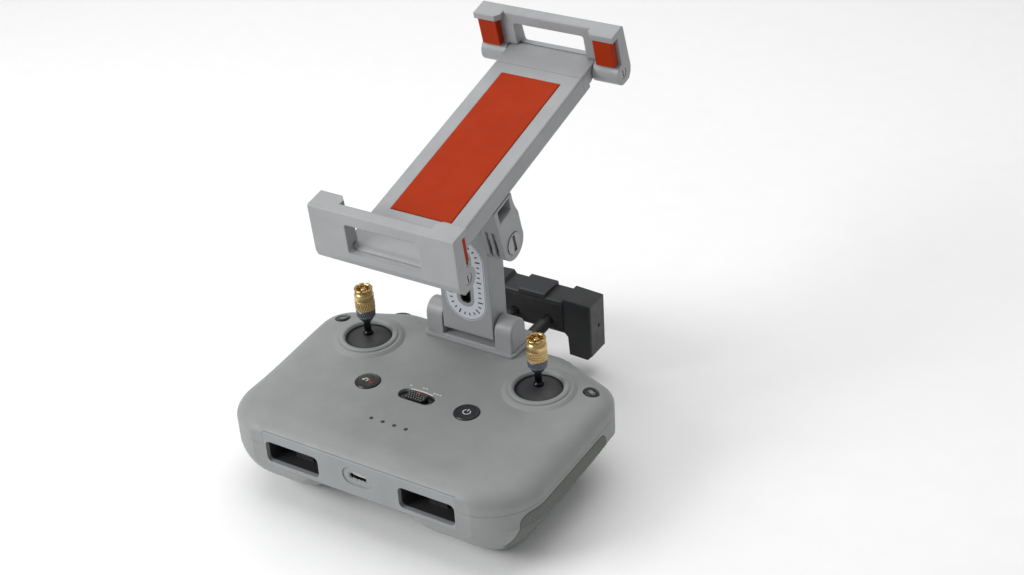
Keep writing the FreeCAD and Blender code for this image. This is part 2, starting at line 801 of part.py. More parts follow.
# Stick parts from the foot up, as (radius, level). The brass knurl and the polished shoulder
# with its flared crown are one threaded end piece; the collar under it locks its height.
SHAFT_PROFILE = [(0, 38.05), (1.7, 38.05), (1.7, 45.85), (2.3, 45.85), (2.3, 46.7), (1.6, 47.4),
                 (1.6, 57.0), (0, 57.0)]
COLLAR_PROFILE = [(1.62, 52.8), (2.3, 52.8), (2.6, 53.2), (4.2, 55.6), (4.4, 58.4), (4.1, 58.9),
                  (1.5, 58.9), (1.5, 57.05), (1.62, 57.05)]
CAP_PROFILE = [(0, 58.95), (4.1, 58.95), (4.4, 59.3), (4.5, 59.7), (4.5, 63.6), (4.2, 63.9), (4.2, 64.3),
               (4.45, 64.6), (4.45, 66.4), (4.0, 67.3), (3.6, 67.8), (3.75, 68.4), (4.2, 69.4),
               (4.0, 69.7), (2.7, 69.7), (2.4, 67.2), (0, 67.0)]
CAP_RADIUS = 4.5
PETALS = 8
NOTCH_WIDE = 0.8
NOTCH_LEVEL = 68.0
STUD_RADIUS = 1.2
STUD_TOP = 69.2


def build_stick():
    ball = doc.addObject("Part::Sphere", "Ball_outer")
    bind(ball, "Radius", "ball_radius")
    bind(ball, "Angle1", "ball_rim_angle")
    place(ball, "stick_x", "stick_y", "ball_level")
    hollow = doc.addObject("Part::Sphere", "Ball_hollow")
    bind(hollow, "Radius", "ball_radius - ball_shell")
    place(hollow, "stick_x", "stick_y", "ball_level")
    centre = ("stick_x", "stick_y")
    stem = cylinder("Ball_stem", "z", "3", centre, ("ball_level - 2", "ball_level + ball_radius - 0.6"))
    cross = cylinder("Ball_cross", "y", "pivot_radius", ("stick_x", "ball_level"),
                     ("stick_y - ring_outer + 0.1", "stick_y + ring_outer - 0.1"))
    socket = cylinder("Ball_socket", "z", "shaft_radius + 0.02", centre, ("38", "60"))
    dome = fuse("Ball_body", cut("Ball_shell", ball, hollow), stem, cross)
    both_sides("stick_dome", cut("Stick_dome", dome, socket))
    both_sides("stick_shaft", turned("Stick_shaft", SHAFT_PROFILE, centre))
    both_sides("stick_collar", turned("Stick_collar", COLLAR_PROFILE, centre))

    cap = turned("Cap_body", CAP_PROFILE, centre)
    notches = []
    for i in range(PETALS // 2):
        turn = Rotation(Vector(0, 0, 1), i * 360 / PETALS)
        start = turn.multVec(Vector(-CAP_RADIUS - 0.3, -NOTCH_WIDE / 2, 0))
        slot = doc.addObject("Part::Box", f"Cap_notch{i}")
        slot.Length = 2 * CAP_RADIUS + 0.6
        slot.Width = NOTCH_WIDE
        slot.Height = 4
        slot.Placement = Placement(start, turn)
        place(slot, f"stick_x + {start.x}", f"stick_y + {start.y}", NOTCH_LEVEL)
        notches.append(slot)
    teeth = cut("Cap_toothed", cap, *notches)
    stud = cylinder("Cap_stud", "z", STUD_RADIUS, centre, (66.9, STUD_TOP))
    both_sides("stick_cap", fuse("Stick_cap", teeth, stud))


# ---------------------------------------------------------------- buttons
def build_round_buttons():
    top = size("body_top") + size("button_proud")
    radius = size("button_radius")
    inside = size("body_top") - size("casing_wall")
    profile = [(0, inside - 1.2), (radius + 0.9, inside - 1.2), (radius + 0.9, inside - 0.1),
               (radius, inside - 0.1),
               (radius, top - 0.35), (radius - 0.35, top), (radius - 1.5, top - 0.15), (0, top - 0.25)]
    keep("power_button", turned("Power_button", profile, ("button_x", "button_y")))
    keep("return_home_button", turned("Return_home_button", profile, ("-button_x", "button_y")))
    small = size("small_button_radius")
    cap = [(0, -3.6), (small + 0.8, -3.6), (small + 0.8, -2.9), (small, -2.9), (small, 0.15),
           (small - 0.35, 0.45),
           (0, 0.3)]
    for side, node in ((1, "photo_button"), (-1, "function_button")):
        points = [Vector(r, 0, level) for r, level in cap]
        face = Part.Face(Part.makePolygon(points + points[:1]))
        button = solid(node.title(), face.revolve(Vector(), Vector(0, 0, 1), 360))
        button.Placement = lean_placement(side)
        keep(node, button)


def build_switches():
    pieces = []
    for i, x in enumerate(("-button_x", "button_x")):
        pieces.append(block(f"Switch_case{i}", (f"{x} - 3", f"{x} + 3"),
                            ("button_y - 3", "button_y + 3"), ("35", "37.4")))
        pieces[-1] = fuse(f"Tact_switch{i}", pieces[-1],
                          cylinder(f"Switch_tip{i}", "z", "1.6", (x, "button_y"), ("37.2", "38.7")))
    keep("button_switches", group("Button_switches", *pieces))


def build_mode_slider():
    wide = size("slider_wide")
    deep = size("slider_deep")
    y = size("button_y")
    level = size("body_top") - 1.5
    plate = stadium(wide + 1.6, deep + 1.6, level - 1.8, level - 0.8, y=y).fuse(
        stadium(wide, deep, level - 1, level, y=y))
    slot = Part.makeBox(11.4, 1.6, 5, Vector(-5.7, y - 0.8, level - 3))
    keep("mode_switch_plate", solid("Mode_switch_plate", plate.cut(slot).removeSplitter()))
    thumb = block("Thumb_block", ("-thumb_half", "thumb_half"),
                  ("button_y - thumb_deep / 2", "button_y + thumb_deep / 2"),
                  ("body_top - 1.45", "body_top + 0.4"))
    thumb = rounded("Thumb_soft", thumb, 1.6, straight_along("z"))
    tools = []
    for i in range(5):
        x = (i - 2) * 1.5
        tools.append(cylinder(f"Thumb_groove{i}", "y", "0.45", (x, "body_top + 0.5"),
                              ("button_y - 4", "button_y + 4")))
    stem = block("Thumb_stem", ("-1.4", "1.4"), ("button_y - 0.7", "button_y + 0.7"),
                 ("body_top - 4.4", "body_top - 1.3"))
    keep("mode_slider", fuse("Mode_slider", cut("Thumb_ribbed", thumb, *tools), stem))


def build_lights():
    pipes = []
    for i in range(4):
        spot = (f"({i} - 1.5) * light_pitch", "light_y")
        pipes.append(cylinder(f"Light_pipe{i}", "z", "light_radius", spot, ("35.1", "body_top + 0.05")))
    keep("charge_lights", group("Charge_lights", *pipes))


def build_dial_and_shutter():
    wheel = cylinder("Dial_wheel", "z", "dial_radius", ("-dial_x", "dial_y"), ("dial_low", "dial_high"))
    wheel = rounded("Dial_soft", wheel, 0.6, lambda e: e.Curve.TypeId == "Part::GeomCircle")
    bore = cylinder("Dial_bore", "z", "1.55", ("-dial_x", "dial_y"), ("dial_low - 1", "dial_high - 1.5"))
    keep("gimbal_dial", cut("Gimbal_dial", wheel, bore))
    axle = cylinder("Dial_axle", "z", "1.5", ("-dial_x", "dial_y"), ("dial_low - 1", "dial_high - 1.6"))
    shelf = block("Dial_shelf", ("-dial_x - 3.4", "-dial_x + 4.4"), ("dial_y - 6", "dial_y + 0.6"),
                  ("dial_low - 1.3", "dial_low - 0.3"))
    foot = block("Dial_foot", ("-dial_x - 2.2", "-dial_x + 2.2"), ("dial_y - 6", "dial_y - 3.6"),
                 ("23.9", "dial_low - 1"))
    keep("dial_axle", fuse("Dial_axle_and_foot", axle, shelf, foot))
    low = "dial_low + 0.2"
    high = "dial_high - 1.2"
    points = [("shutter_low", "44.5"), ("shutter_high", "44.5"), ("shutter_high", "52.3"),
              ("shutter_high - 3.2", "53.7"),
              ("shutter_low + 0.8", "53.9"), ("shutter_low", "53.2")]
    button = outlined("Shutter_button", "z", points, (low, high), [("0.6", lambda e: e.CenterOfMass.y > 45)])
    keep("shutter_button", button)


# ---------------------------------------------------------------- phone holder
def holder_outline():
    """The bar seen from the back: two deep end blocks joined by a shallower middle."""
    right = [("0", "22"), ("16.8", "22"), ("18.4", "20.4"), ("19", "10.6"), ("28.6", "10.2"),
             ("holder_half", "12.8"),
             ("holder_half", "holder_top - 0.8"), ("16.8", "holder_top"), ("15.4", "holder_top - 2"),
             ("7.5", "holder_top - 2"), ("7.2", "holder_top")]
    left = [(f"-({x})", z) for x, z in reversed(right[1:])]
    return right + left


def build_holder():
    bar = outlined("Holder_block", "y", holder_outline(), ("holder_front", "holder_back"),
                   [("0.8", lambda e: e.CenterOfMass.y < 90.1 or e.CenterOfMass.y > 103.4)])
    tools = []
    for i, x in enumerate(("-rod_x", "rod_x")):
        tools.append(cylinder(f"Holder_bore{i}", "y", "rod_radius + 0.03", (x, "rod_level"),
                              ("holder_front - 1", "holder_front + 9.05")))
    pocket = block("Pad_pocket", ("-16.7", "16.7"), ("holder_front - 1", "holder_front + 1"), ("23.4", "38"))
    tools.append(pocket)
    for i, (low, high) in enumerate((("-29.2", "-20.4"), ("20.4", "29.2"))):
        tools.append(block(f"Antenna_bay{i}", (low, high), ("holder_front + 4", "holder_front + 6.6"),
                           ("16", "38")))
        tools.append(cylinder(f"End_hole{i}", "x", "0.9", ("holder_front + 7.8", "26.4"),
                              (("-32", "-29.7") if i == 0 else ("29.7", "32"))))
    keep("holder_bar", cut("Holder_bar", bar, *tools))
    strips = []
    for i, (low, high) in enumerate((("-29", "-20.6"), ("20.6", "29"))):
        strips.append(block(f"Antenna{i}", (low, high), ("holder_front + 4.6", "holder_front + 5.6"),
                            ("17", "37")))
    keep("holder_antennas", group("Holder_antennas", *strips))
    face = block("Pad_face", ("-16.6", "16.6"), ("holder_front - 0.7", "holder_front + 1"), ("23.5", "37.9"))
    face = rounded("Pad_face_soft", face, 0.6, lambda e: e.CenterOfMass.y < size("holder_front") - 0.6)
    holes = [cylinder(f"Pad_hole{i}", "y", "rod_radius + 0.25", (x, "rod_level"),
                      ("holder_front - 2", "holder_front + 2"))
             for i, x in enumerate(("-rod_x", "rod_x"))]
    keep("holder_pad", cut("Holder_pad", face, *holes))
    rods = []
    sleeves = []
    guides = []
    for i, x in enumerate(("-rod_x", "rod_x")):
        spot = (x, "rod_level")
        rods.append(cylinder(f"Holder_rod{i}", "y", "rod_radius", spot, ("56", "holder_front + 9")))
        sleeve = cylinder(f"Sleeve_tube{i}", "y", "sleeve_radius", spot, ("-13", "holder_front - 6"))
        socket = cylinder(f"Sleeve_socket{i}", "y", "rod_radius", spot, ("56", "holder_front"))
        sleeves.append(cut(f"Rod_sleeve{i}", sleeve, socket))
        guide = cylinder(f"Guide_tube{i}", "y", "sleeve_radius + 1.1", spot, ("36", "body_deep / 2"))
        bore = cylinder(f"Guide_bore{i}", "y", "sleeve_radius + 0.05", spot, ("35", "body_deep / 2 + 1"))
        guides.append(cut(f"Rod_guide{i}", guide, bore))
    keep("holder_rods", group("Holder_rods", *rods))
    keep("rod_sleeves", group("Rod_sleeves", *sleeves))
    keep("rod_guides", group("Rod_guides", *guides))


# ---------------------------------------------------------------- bracket base and arm
def build_bracket_base():
    plate = outlined("Base_plate", "z", [("-base_half", "base_front"), ("base_half", "base_front"),
                                         ("base_half", "base_back"), ("-base_half", "base_back")],
                     ("base_low", "base_lip"), [("2", straight_along("z"))])
    step = outlined("Base_step", "z",
                    [("1.2 - base_half", "base_front + 1.2"), ("base_half - 1.2", "base_front + 1.2"),
                     ("base_half - 1.2", "base_back"), ("1.2 - base_half", "base_back")],
                    ("base_lip - 0.5", "base_top"), [("1.5", straight_along("z"))])
    tongue = block("Base_tongue", ("-base_half + 1", "base_half - 1"), ("body_deep / 2 + 0.3", "base_back"),
                   ("19.5", "base_low + 0.5"))
    tongue = rounded("Base_tongue_soft", tongue, 1.2, lambda e: e.CenterOfMass.z < 19.6)
    knuckles = []
    for i, (low, high) in enumerate((("knuckle_inner", "knuckle_outer"),
                                     ("-knuckle_outer", "-knuckle_inner"))):
        post = block(f"Knuckle_post{i}", (low, high),
                     ("hinge_y - knuckle_radius", "hinge_y + knuckle_radius"),
                     ("base_top - 0.5", "hinge_level"))
        crown = cylinder(f"Knuckle_crown{i}", "x", "knuckle_radius", ("hinge_y", "hinge_level"), (low, high))
        knuckles.append(rounded(f"Knuckle{i}", fuse(f"Knuckle_raw{i}", post, crown), 1.0, outer_rim(i)))
    body = fuse("Base_body", plate, step, tongue, *knuckles)
    tools = [cylinder("Base_pin_bore", "x", "hinge_pin_radius", ("hinge_y", "hinge_level"),
                      ("-hinge_pin_half", "hinge_pin_half"))]
    gap = "sleeve_radius + 0.7"
    for i, x in enumerate(("-rod_x", "rod_x")):
        tools.append(block(f"Rod_slot{i}", (f"{x} - ({gap})", f"{x} + {gap}"), ("50", "60"),
                           ("18", f"rod_level + {gap}")))
    tools.append(block("Pad_way", ("-base_pad_half", "base_pad_half"),
                       ("base_pad_front", "base_pad_back"), ("body_top", "base_low + 0.8")))
    keep("bracket_base", cut("Bracket_base", body, *tools))
    pad = block("Base_pad", ("-base_pad_half", "base_pad_half"), ("base_pad_front", "base_pad_back"),
                ("body_top + 0.02", "base_low + 0.8"))
    keep("bracket_base_pad", pad)
    keep("base_hinge_pin", cylinder("Base_hinge_pin", "x", "hinge_pin_radius",
                                    ("hinge_y", "hinge_level"), ("-hinge_pin_half", "hinge_pin_half")))


def outer_rim(number):
    """The outer end of a knuckle, apart from its foot."""
    edge_x = size("knuckle_outer") if number == 0 else -size("knuckle_outer")

    def test(edge):
        on_end = abs(edge.BoundBox.XMin - edge_x) < 1e-3 and abs(edge.BoundBox.XMax - edge_x) < 1e-3
        return on_end and edge.CenterOfMass.z > size("base_top") + 0.2
    return test


def upright_slot(name, half, low, high, span):
    """A slot with round ends standing along Z, cut along Y; low and high are its end levels."""
    bar = block(name + "_bar", (f"-({half})", half), span, (f"{low} + ({half})", f"{high} - ({half})"))
    ends = [cylinder(f"{name}_end{i}", "y", half, ("0", level), span)
            for i, level in enumerate((f"{low} + ({half})", f"{high} - ({half})"))]
    return fuse(name, bar, *ends)


def build_arm():
    front = "hinge_y - arm_thick / 2"
    span = ("-arm_half", "arm_half")
    post = block("Arm_post", span, (front, "hinge_y + arm_thick / 2"),
                 ("arm_bottom", "arm_top - arm_thick / 2"))
    post = rounded("Arm_post_soft", post, 1.2, lambda e: straight_along("x")(e)
                   and e.CenterOfMass.z < size("arm_bottom") + 0.1)
    head = cylinder("Arm_head", "x", "arm_thick / 2", ("hinge_y", "arm_top - arm_thick / 2"), span)
    body = fuse("Arm_raw", post, head)
    tools = [
        upright_slot("Label_recess", "label_half + 0.1", "label_low", "label_high",
                     (f"{front} - 1", f"{front} + 0.3")),
        upright_slot("Slot_recess", "slot_half + 0.05", "slot_low", "slot_high",
                     (f"{front} - 1", f"{front} + 4")),
        cylinder("Arm_base_bore", "x", "hinge_pin_radius + 0.05", ("hinge_y", "hinge_level"), ("-14", "14")),
        cylinder("Arm_tilt_bore", "x", "bolt_radius + 0.05", ("tilt_y", "tilt_level"), ("-14", "14")),
    ]
    collar = cut("Slot_collar", upright_slot("Collar_outer", "slot_half + 1.7", "slot_low - 1.6",
                                             "slot_high + 1.6", (f"{front}", f"{front} + 0.3")),
                 upright_slot("Collar_inner", "slot_half + 0.05", "slot_low", "slot_high",
                              (f"{front} - 1", f"{front} + 1")))
    keep("bracket_arm", fuse("Bracket_arm", cut("Arm_cut", body, *tools), collar))
    plate = upright_slot("Label_outer", "label_half", "label_low + 0.1", "label_high - 0.1",
                         (f"{front} - 0.1", f"{front} + 0.3"))
    hole = upright_slot("Label_hole", "slot_half + 1.75", "slot_low - 1.65", "slot_high + 1.65",
                        (f"{front} - 1", f"{front} + 1"))
    keep("arm_scale_plate", cut("Arm_scale_plate", plate, hole))
    liner = upright_slot("Liner_outer", "slot_half", "slot_low + 0.05", "slot_high - 0.05",
                         (f"{front} + 0.2", f"{front} + 4"))
    well = upright_slot("Liner_well", "slot_half - 0.5", "slot_low + 0.55", "slot_high - 0.55",
                        (f"{front} - 1", f"{front} + 3.4"))
    keep("arm_slot_liner", cut("Arm_slot_liner", liner, well))


# ---------------------------------------------------------------- tray, drawn flat
def tray_placement():
    tilt = Rotation(Vector(1, 0, 0), size("tray_tilt"))
    return Placement(Vector(0, 0, size("tray_level")), tilt)


def tilted(node, item, lean=Placement()):
    """Keep a piece drawn flat, moved to the tray's tilt after an optional lean of its own."""
    doc.recompute()
    moved = doc.addObject("Part::Compound", node.title() + "_placed")
    moved.Links = [item]
    moved.Placement = tray_placement().multiply(lean)
    keep(node, moved)


def tilt_axis():
    """The tilt hinge in the flat tray's own frame: (along, below)."""
    spot = tray_placement().inverse().multVec(Vector(0, size("tilt_y"), size("tilt_level")))
    return spot.y, spot.z


def nose(name, pivot, outward):
    """The rounded end that sits between a jaw's two barrels, on a web that is thinned below.

    The relief under the web is where the folded jaw's lower edge swings to.
    """
    level = "-jaw_pivot_drop"
    span = ("-nose_half", "nose_half")
    tip = cylinder(name + "_tip", "x", "nose_radius", (pivot, level), span)
    back = f"{pivot} - 8.4" if outward > 0 else pivot
    front = pivot if outward > 0 else f"{pivot} + 8.4"
    web = block(name + "_web", span, (back, front), (f"{level} - 2.2", "0"))
    return fuse(name, tip, web)


def relief(name, pivot, outward):
    """The room cut from the underside of a tray end next to its nose."""
    level = "-jaw_pivot_drop"
    near, far = (f"{pivot} - 8.4", f"{pivot} + 6") if outward > 0 else (f"{pivot} - 6", f"{pivot} + 8.4")
    return block(name, ("-30", "30"), (near, far), ("-12", f"{level} - 2.2"))


def build_tray():
    body = block("Tray_block", ("-tray_half", "tray_half"), ("-3", "tray_seam"), ("-tray_thick", "0"))
    body = rounded("Tray_soft", body, 1.0, lambda e: straight_along("y")(e))
    tools = [
        block("Mat_recess", ("-pad_half - 0.1", "pad_half + 0.1"), ("mat_front - 0.1", "mat_back + 0.1"),
              ("-0.8", "1")),
        block("Tongue_way", ("-tongue_half - 0.1", "tongue_half + 0.1"), ("24", "tray_seam + 1"),
              ("-7.4", "-3.2")),
        cylinder("Front_pin_bore", "x", "pin_radius + 0.05", ("jaw_pivot_front", "-jaw_pivot_drop"),
                 ("-23", "23")),
    ]
    body = cut("Tray_relieved", body, relief("Tray_relief", "jaw_pivot_front", -1))
    whole = fuse("Tray_whole", body, nose("Tray_nose", "jaw_pivot_front", -1))
    tilted("tray", cut("Tray", whole, *tools))
    mat = outlined("Tray_mat", "z",
                   [("-pad_half", "mat_front"), ("pad_half", "mat_front"),
                    ("pad_half", "mat_back"), ("-pad_half", "mat_back")],
                   ("-0.8", "0.4"),
                   [("0.6", straight_along("z")), ("0.3", lambda e: e.CenterOfMass.z > 0.39)])
    tilted("tray_mat", mat)


def build_extension():
    head = block("Extension_head", ("-tray_half", "tray_half"), ("tray_seam + 0.1", "116.5"),
                 ("-tray_thick", "0"))
    head = rounded("Extension_soft", head, 1.0, straight_along("y"))
    tongue = block("Extension_tongue", ("-tongue_half", "tongue_half"), ("26", "112"), ("-7.3", "-3.3"))
    head = cut("Extension_relieved", head, relief("Extension_relief", "jaw_pivot_back", 1))
    end = nose("Extension_nose", "jaw_pivot_back", 1)
    bore = cylinder("Back_pin_bore", "x", "pin_radius + 0.05", ("jaw_pivot_back", "-jaw_pivot_drop"),
                    ("-23", "23"))
    tilted("tray_extension", cut("Tray_extension", fuse("Extension_whole", head, tongue, end), bore))


def sideways(side, part):
    """The span across X of one end post or grip block of a jaw."""
    if side > 0:
        return f"{part}_inner", f"{part}_outer"
    return f"-{part}_outer", f"-{part}_inner"


def build_jaw(stem, pivot, outward, lean):
    """A folding jaw: a windowed wall, two hooked ends and two hinge barrels.

    outward is 1 for the jaw at the back end of the tray and -1 for the one at the front.
    lean is how far the jaw leans in over the tray, in degrees.
    """
    def along(offset):
        return f"{pivot} + {outward * offset}"

    turn = Rotation(Vector(1, 0, 0), outward * lean)
    lean_place = Placement(Vector(), turn, Vector(0, size(pivot), -size("jaw_pivot_drop")))

    def reach(near, far):
        pair = (along(near), along(far))
        return pair if outward > 0 else pair[::-1]

    level = "-jaw_pivot_drop"
    span = ("-jaw_half", "jaw_half")
    wall = outlined(stem + "_wall", "x",
                    [(along(-0.4), "jaw_top"), (along(5.2), "jaw_top"), (along(6.8), "-4.6"),
                     (along(6.0), "-7.6"), (along(4.0), "-9.8"), (along(0), "-9.8"), (along(-0.4), "-2")],
                    span,
                    [("1.2", lambda e: e.CenterOfMass.z > size("jaw_top") - 0.1 and straight_along("x")(e))])
    pieces = [wall]
    for i, side in enumerate((-1, 1)):
        ends = ("jaw_ends", "jaw_half") if side > 0 else ("-jaw_half", "-jaw_ends")
        barrel = cylinder(f"{stem}_barrel{i}", "x", "barrel_radius", (pivot, level), ends)
        pieces.append(barrel)
        inner = f"{side * 22.0}"
        slant = f"{side * 24.2}"
        outer = f"{side} * jaw_half"
        cap = outlined(f"{stem}_cap{i}", "z",
                       [(outer, along(1)), (outer, along(-4.8)), (slant, along(-4.8)),
                        (inner, along(-2.6)), (inner, along(1))],
                       ("jaw_top - 2.8", "jaw_top"))
        pieces.append(cap)
        post = block(f"{stem}_post{i}", sideways(side, "post"), reach(-2.2, 0.5), ("0", "jaw_top - 1"))
        pieces.append(post)
    whole = fuse(stem + "_whole", *pieces)
    window = block(stem + "_window", ("-jaw_window_half", "jaw_window_half"), reach(-10, 12),
                   ("-1.6", "12.2"))
    window = rounded(stem + "_window_soft", window, 1.2, straight_along("y"))
    clearance = [
        cylinder(stem + "_nose_way", "x", "nose_radius + 0.3", (pivot, level), ("-jaw_ends", "jaw_ends")),
        block(stem + "_tray_way", ("-jaw_ends", "jaw_ends"), reach(-9, 3), ("-12", "0.6")),
        cylinder(stem + "_pin_way", "x", "pin_radius", (pivot, level),
                 ("-pin_end - 0.1", "pin_end + 0.1")),
        cylinder(stem + "_head_way", "x", "pin_head + 0.1", (pivot, level), ("pin_end", "pin_end + 2.5")),
    ]
    tilted(stem + "_jaw", cut(stem + "_jaw_cut", whole, window, *clearance), lean_place)
    blocks = []
    for i, side in enumerate((-1, 1)):
        pad = block(f"{stem}_pad{i}", sideways(side, "grip"), reach(-4.3, -0.5), ("1.2", "jaw_top - 2.9"))
        pad = rounded(f"{stem}_pad_soft{i}", pad, 0.4, straight_along("z"))
        core = block(f"{stem}_core{i}", sideways(side, "post"), reach(-2.2, 1), ("0", "jaw_top"))
        blocks.append(cut(f"{stem}_grip_block{i}", pad, core))
    tilted(stem + "_jaw_grips", group(stem + "_jaw_grip_pair", *blocks), lean_place)
    pin = cylinder(stem + "_pin_rod", "x", "pin_radius", (pivot, level), ("-pin_end", "pin_end + 0.1"))
    head = cylinder(stem + "_pin_head", "x", "pin_head", (pivot, level), ("pin_end", "pin_end + 1.1"))
    drive = block(stem + "_pin_drive", ("34", "36"), (f"{pivot} - 0.35", f"{pivot} + 0.35"),
                  (f"{level} - 1.7", f"{level} + 1.7"))
    tilted(stem + "_jaw_pin", cut(stem + "_pin_cut", fuse(stem + "_pin_whole", pin, head), drive),
           lean_place)


def ear_outline(along, below):
    """One hinge ear seen from the side: a teardrop under a short neck."""
    under = "-tray_thick"
    return [
        (f"{along} - 8.6", under), (f"{along} + 5.8", under), (f"{along} + 5.7", f"{below} + 20.2"),
        (f"{along} + 6.3", f"{below} + 15.8"), (f"{along} + 7.8", f"{below} + 11.4"),
        (f"{along} + 7.8", f"{below}"), (f"{along}", f"{below}"), (f"{along} - 7.8", f"{below} + 1.6"),
        (f"{along} - 8.2", f"{below} + 11"),
    ]


def build_tilt_hinge():
    along, below = tilt_axis()
    centre = (f"{along}", f"{below}")
    pieces = [block("Tilt_plate", ("-21", "21"), (f"{along} - 8", f"{along} + 5"),
                    ("-tray_thick - 1.8", "-tray_thick"))]
    tools = []
    washers = []
    for i, side in enumerate((-1, 1)):
        def span(near, far):
            return (near, far) if side > 0 else (f"-({far})", f"-({near})")

        pieces.append(outlined(f"Ear_web{i}", "x", ear_outline(along, below),
                               span("ear_inner", "ear_outer")))
        pieces.append(cylinder(f"Ear_disc{i}", "x", "ear_radius", centre, span("ear_inner", "ear_outer")))
        hollow = outlined(f"Ear_hollow{i}", "x",
                          [(f"{along} - 6", "-tray_thick - 1"), (f"{along} + 3.7", "-tray_thick - 1"),
                           (f"{along} + 3.2", f"{below} + 16.6"), (f"{along} + 1.6", f"{below} + 15.8"),
                           (f"{along} - 6", f"{below} + 15.8")],
                          span("ear_inner + 2", "ear_outer + 1"))
        tools.append(hollow)
        for j, start in enumerate((1.6, 4.8)):
            groove = span(f"ear_inner + {start}", f"ear_inner + {start + 1.6}")
            tools.append(cylinder(f"Groove{i}{j}", "x", "ear_radius + 1", centre, groove))
            tools.append(block(f"Groove_rise{i}{j}", groove, (f"{along} - 10", f"{along} - 6.8"),
                               (below, f"{below} + 11.5")))
            disc = cylinder(f"Washer_disc{i}{j}", "x", "ear_radius - 1.2", centre, groove)
            bore = cylinder(f"Washer_bore{i}{j}", "x", "bolt_radius", centre, groove)
            washers.append(cut(f"Washer{i}{j}", disc, bore))
    tools.append(cylinder("Bolt_way", "x", "bolt_radius", centre, ("-23", "23")))
    tools.append(cylinder("Head_way", "x", "bolt_head + 0.1", centre, ("21.4", "23")))
    tools.append(cylinder("Nut_way", "x", "bolt_head + 0.1", centre, ("-23", "-21.4")))
    tilted("tilt_bracket", cut("Tilt_bracket", fuse("Tilt_body", *pieces), *tools))
    tilted("tilt_washers", group("Tilt_washers", *washers))
    shank = cylinder("Bolt_shank", "x", "bolt_radius", centre, ("-21.5", "21.5"))
    head = cylinder("Bolt_head", "x", "bolt_head", centre, ("21.4", "22.6"))
    nut = cylinder("Bolt_nut", "x", "bolt_head", centre, ("-22.6", "-21.4"))
    slot = block("Bolt_slot", ("21.9", "24"), (f"{along} - 1.1", f"{along} + 1.1"),
                 (f"{below} - 4.2", f"{below} + 4.2"))
    tilted("tilt_bolt", cut("Tilt_bolt", fuse("Bolt_body", shank, head, nut), slot))


# ---------------------------------------------------------------- assembly
def casing_level(x, y):
    """The height of the casing's top surface above a point."""
    ray = Part.makeLine(Vector(x, y, 0), Vector(x, y, 60))
    return rolled_block(0).common(ray).BoundBox.ZMax


SMALL_BUTTON_LEVEL = casing_level(size("small_button_x"), size("small_button_y")) - 0.5


def main():
    build_top_shell()
    build_bottom_shell()
    build_side_grips()
    build_front_panel()
    build_pockets()
    build_charging_port()
    build_board_and_battery()
    build_case_screws()
    build_bezel()
    build_gimbal_frame()
    build_gimbal_ring()
    build_stick()
    build_round_buttons()
    build_switches()
    build_mode_slider()
    build_lights()
    build_dial_and_shutter()
    build_holder()
    build_bracket_base()
    build_arm()
    build_tray()
    build_extension()
    build_jaw("upper", "jaw_pivot_back", 1, 0)
    build_jaw("lower", "jaw_pivot_front", -1, size("lower_jaw_lean"))
    build_tilt_hinge()
    doc.recompute()
    check_and_export()


def check_and_export():
    """Stop on any failed object, then write one STEP file per sub-part."""
    for item in doc.Objects:
        if "Invalid" in item.State or "Error" in item.State:
            raise RuntimeError(f"{item.Label} failed: {item.State}")
    for node, item in SUBPARTS:
        if item.Shape.isNull() or not item.Shape.isValid() or not item.Shape.Solids:
            raise RuntimeError(f"{node} has no valid solid")
    os.makedirs("parts", exist_ok=True)
    for node, item in SUBPARTS:
        item.Shape.exportStep(f"parts/{node}.step")
        print(node, len(item.Shape.Solids), round(item.Shape.Volume, 1))


main()
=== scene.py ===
"""Looks for the two-stick radio transmitter with its phone holder and folding tablet bracket.

Lengths are written in millimetres and turned into the frame's metres by MM.
"""

import json
import math

import bpy
import numpy as np
from mathutils import Matrix, Vector


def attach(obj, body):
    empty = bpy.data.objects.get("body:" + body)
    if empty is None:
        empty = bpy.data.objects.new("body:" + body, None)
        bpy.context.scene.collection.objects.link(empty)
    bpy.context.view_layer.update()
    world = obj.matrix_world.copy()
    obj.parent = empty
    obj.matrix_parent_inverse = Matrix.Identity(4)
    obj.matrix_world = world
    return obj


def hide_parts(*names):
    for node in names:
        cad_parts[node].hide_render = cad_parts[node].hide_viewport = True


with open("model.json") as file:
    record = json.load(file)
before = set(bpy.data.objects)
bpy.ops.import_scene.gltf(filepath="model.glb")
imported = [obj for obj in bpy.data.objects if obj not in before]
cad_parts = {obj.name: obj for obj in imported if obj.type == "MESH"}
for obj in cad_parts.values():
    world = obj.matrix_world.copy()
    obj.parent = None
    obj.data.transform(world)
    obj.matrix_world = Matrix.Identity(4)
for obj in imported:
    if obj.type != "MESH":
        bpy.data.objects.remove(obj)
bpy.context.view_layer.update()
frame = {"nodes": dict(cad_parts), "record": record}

MM = 0.001
BUTTON_X = 25.2
BUTTON_Y = -6.1
BUTTON_TOP = 43.34
CASING_TOP = 43.0
STICK_X = 44.0
STICK_Y = 21.7
ARM_FRONT = 36.4
SMALL_BUTTON_SEAT = (64.6, 30.2, 42.284)
SMALL_BUTTON_AXIS = (0.3332, 0.2333, 0.9135)
SMALL_BUTTON_FACE = 0.38
PRINT_HEIGHT = 0.03


# ---------------------------------------------------------------- materials
def srgb(red, green, blue):
    """A display colour, 0 to 255, as the linear colour that shaders take."""
    channels = []
    for value in (red, green, blue):
        share = value / 255
        channels.append(share / 12.92 if share <= 0.04045 else ((share + 0.055) / 1.055) ** 2.4)
    return (*channels, 1.0)


def scaled(colour, factor):
    return tuple(min(1.0, channel * factor) for channel in colour[:3]) + (1.0,)


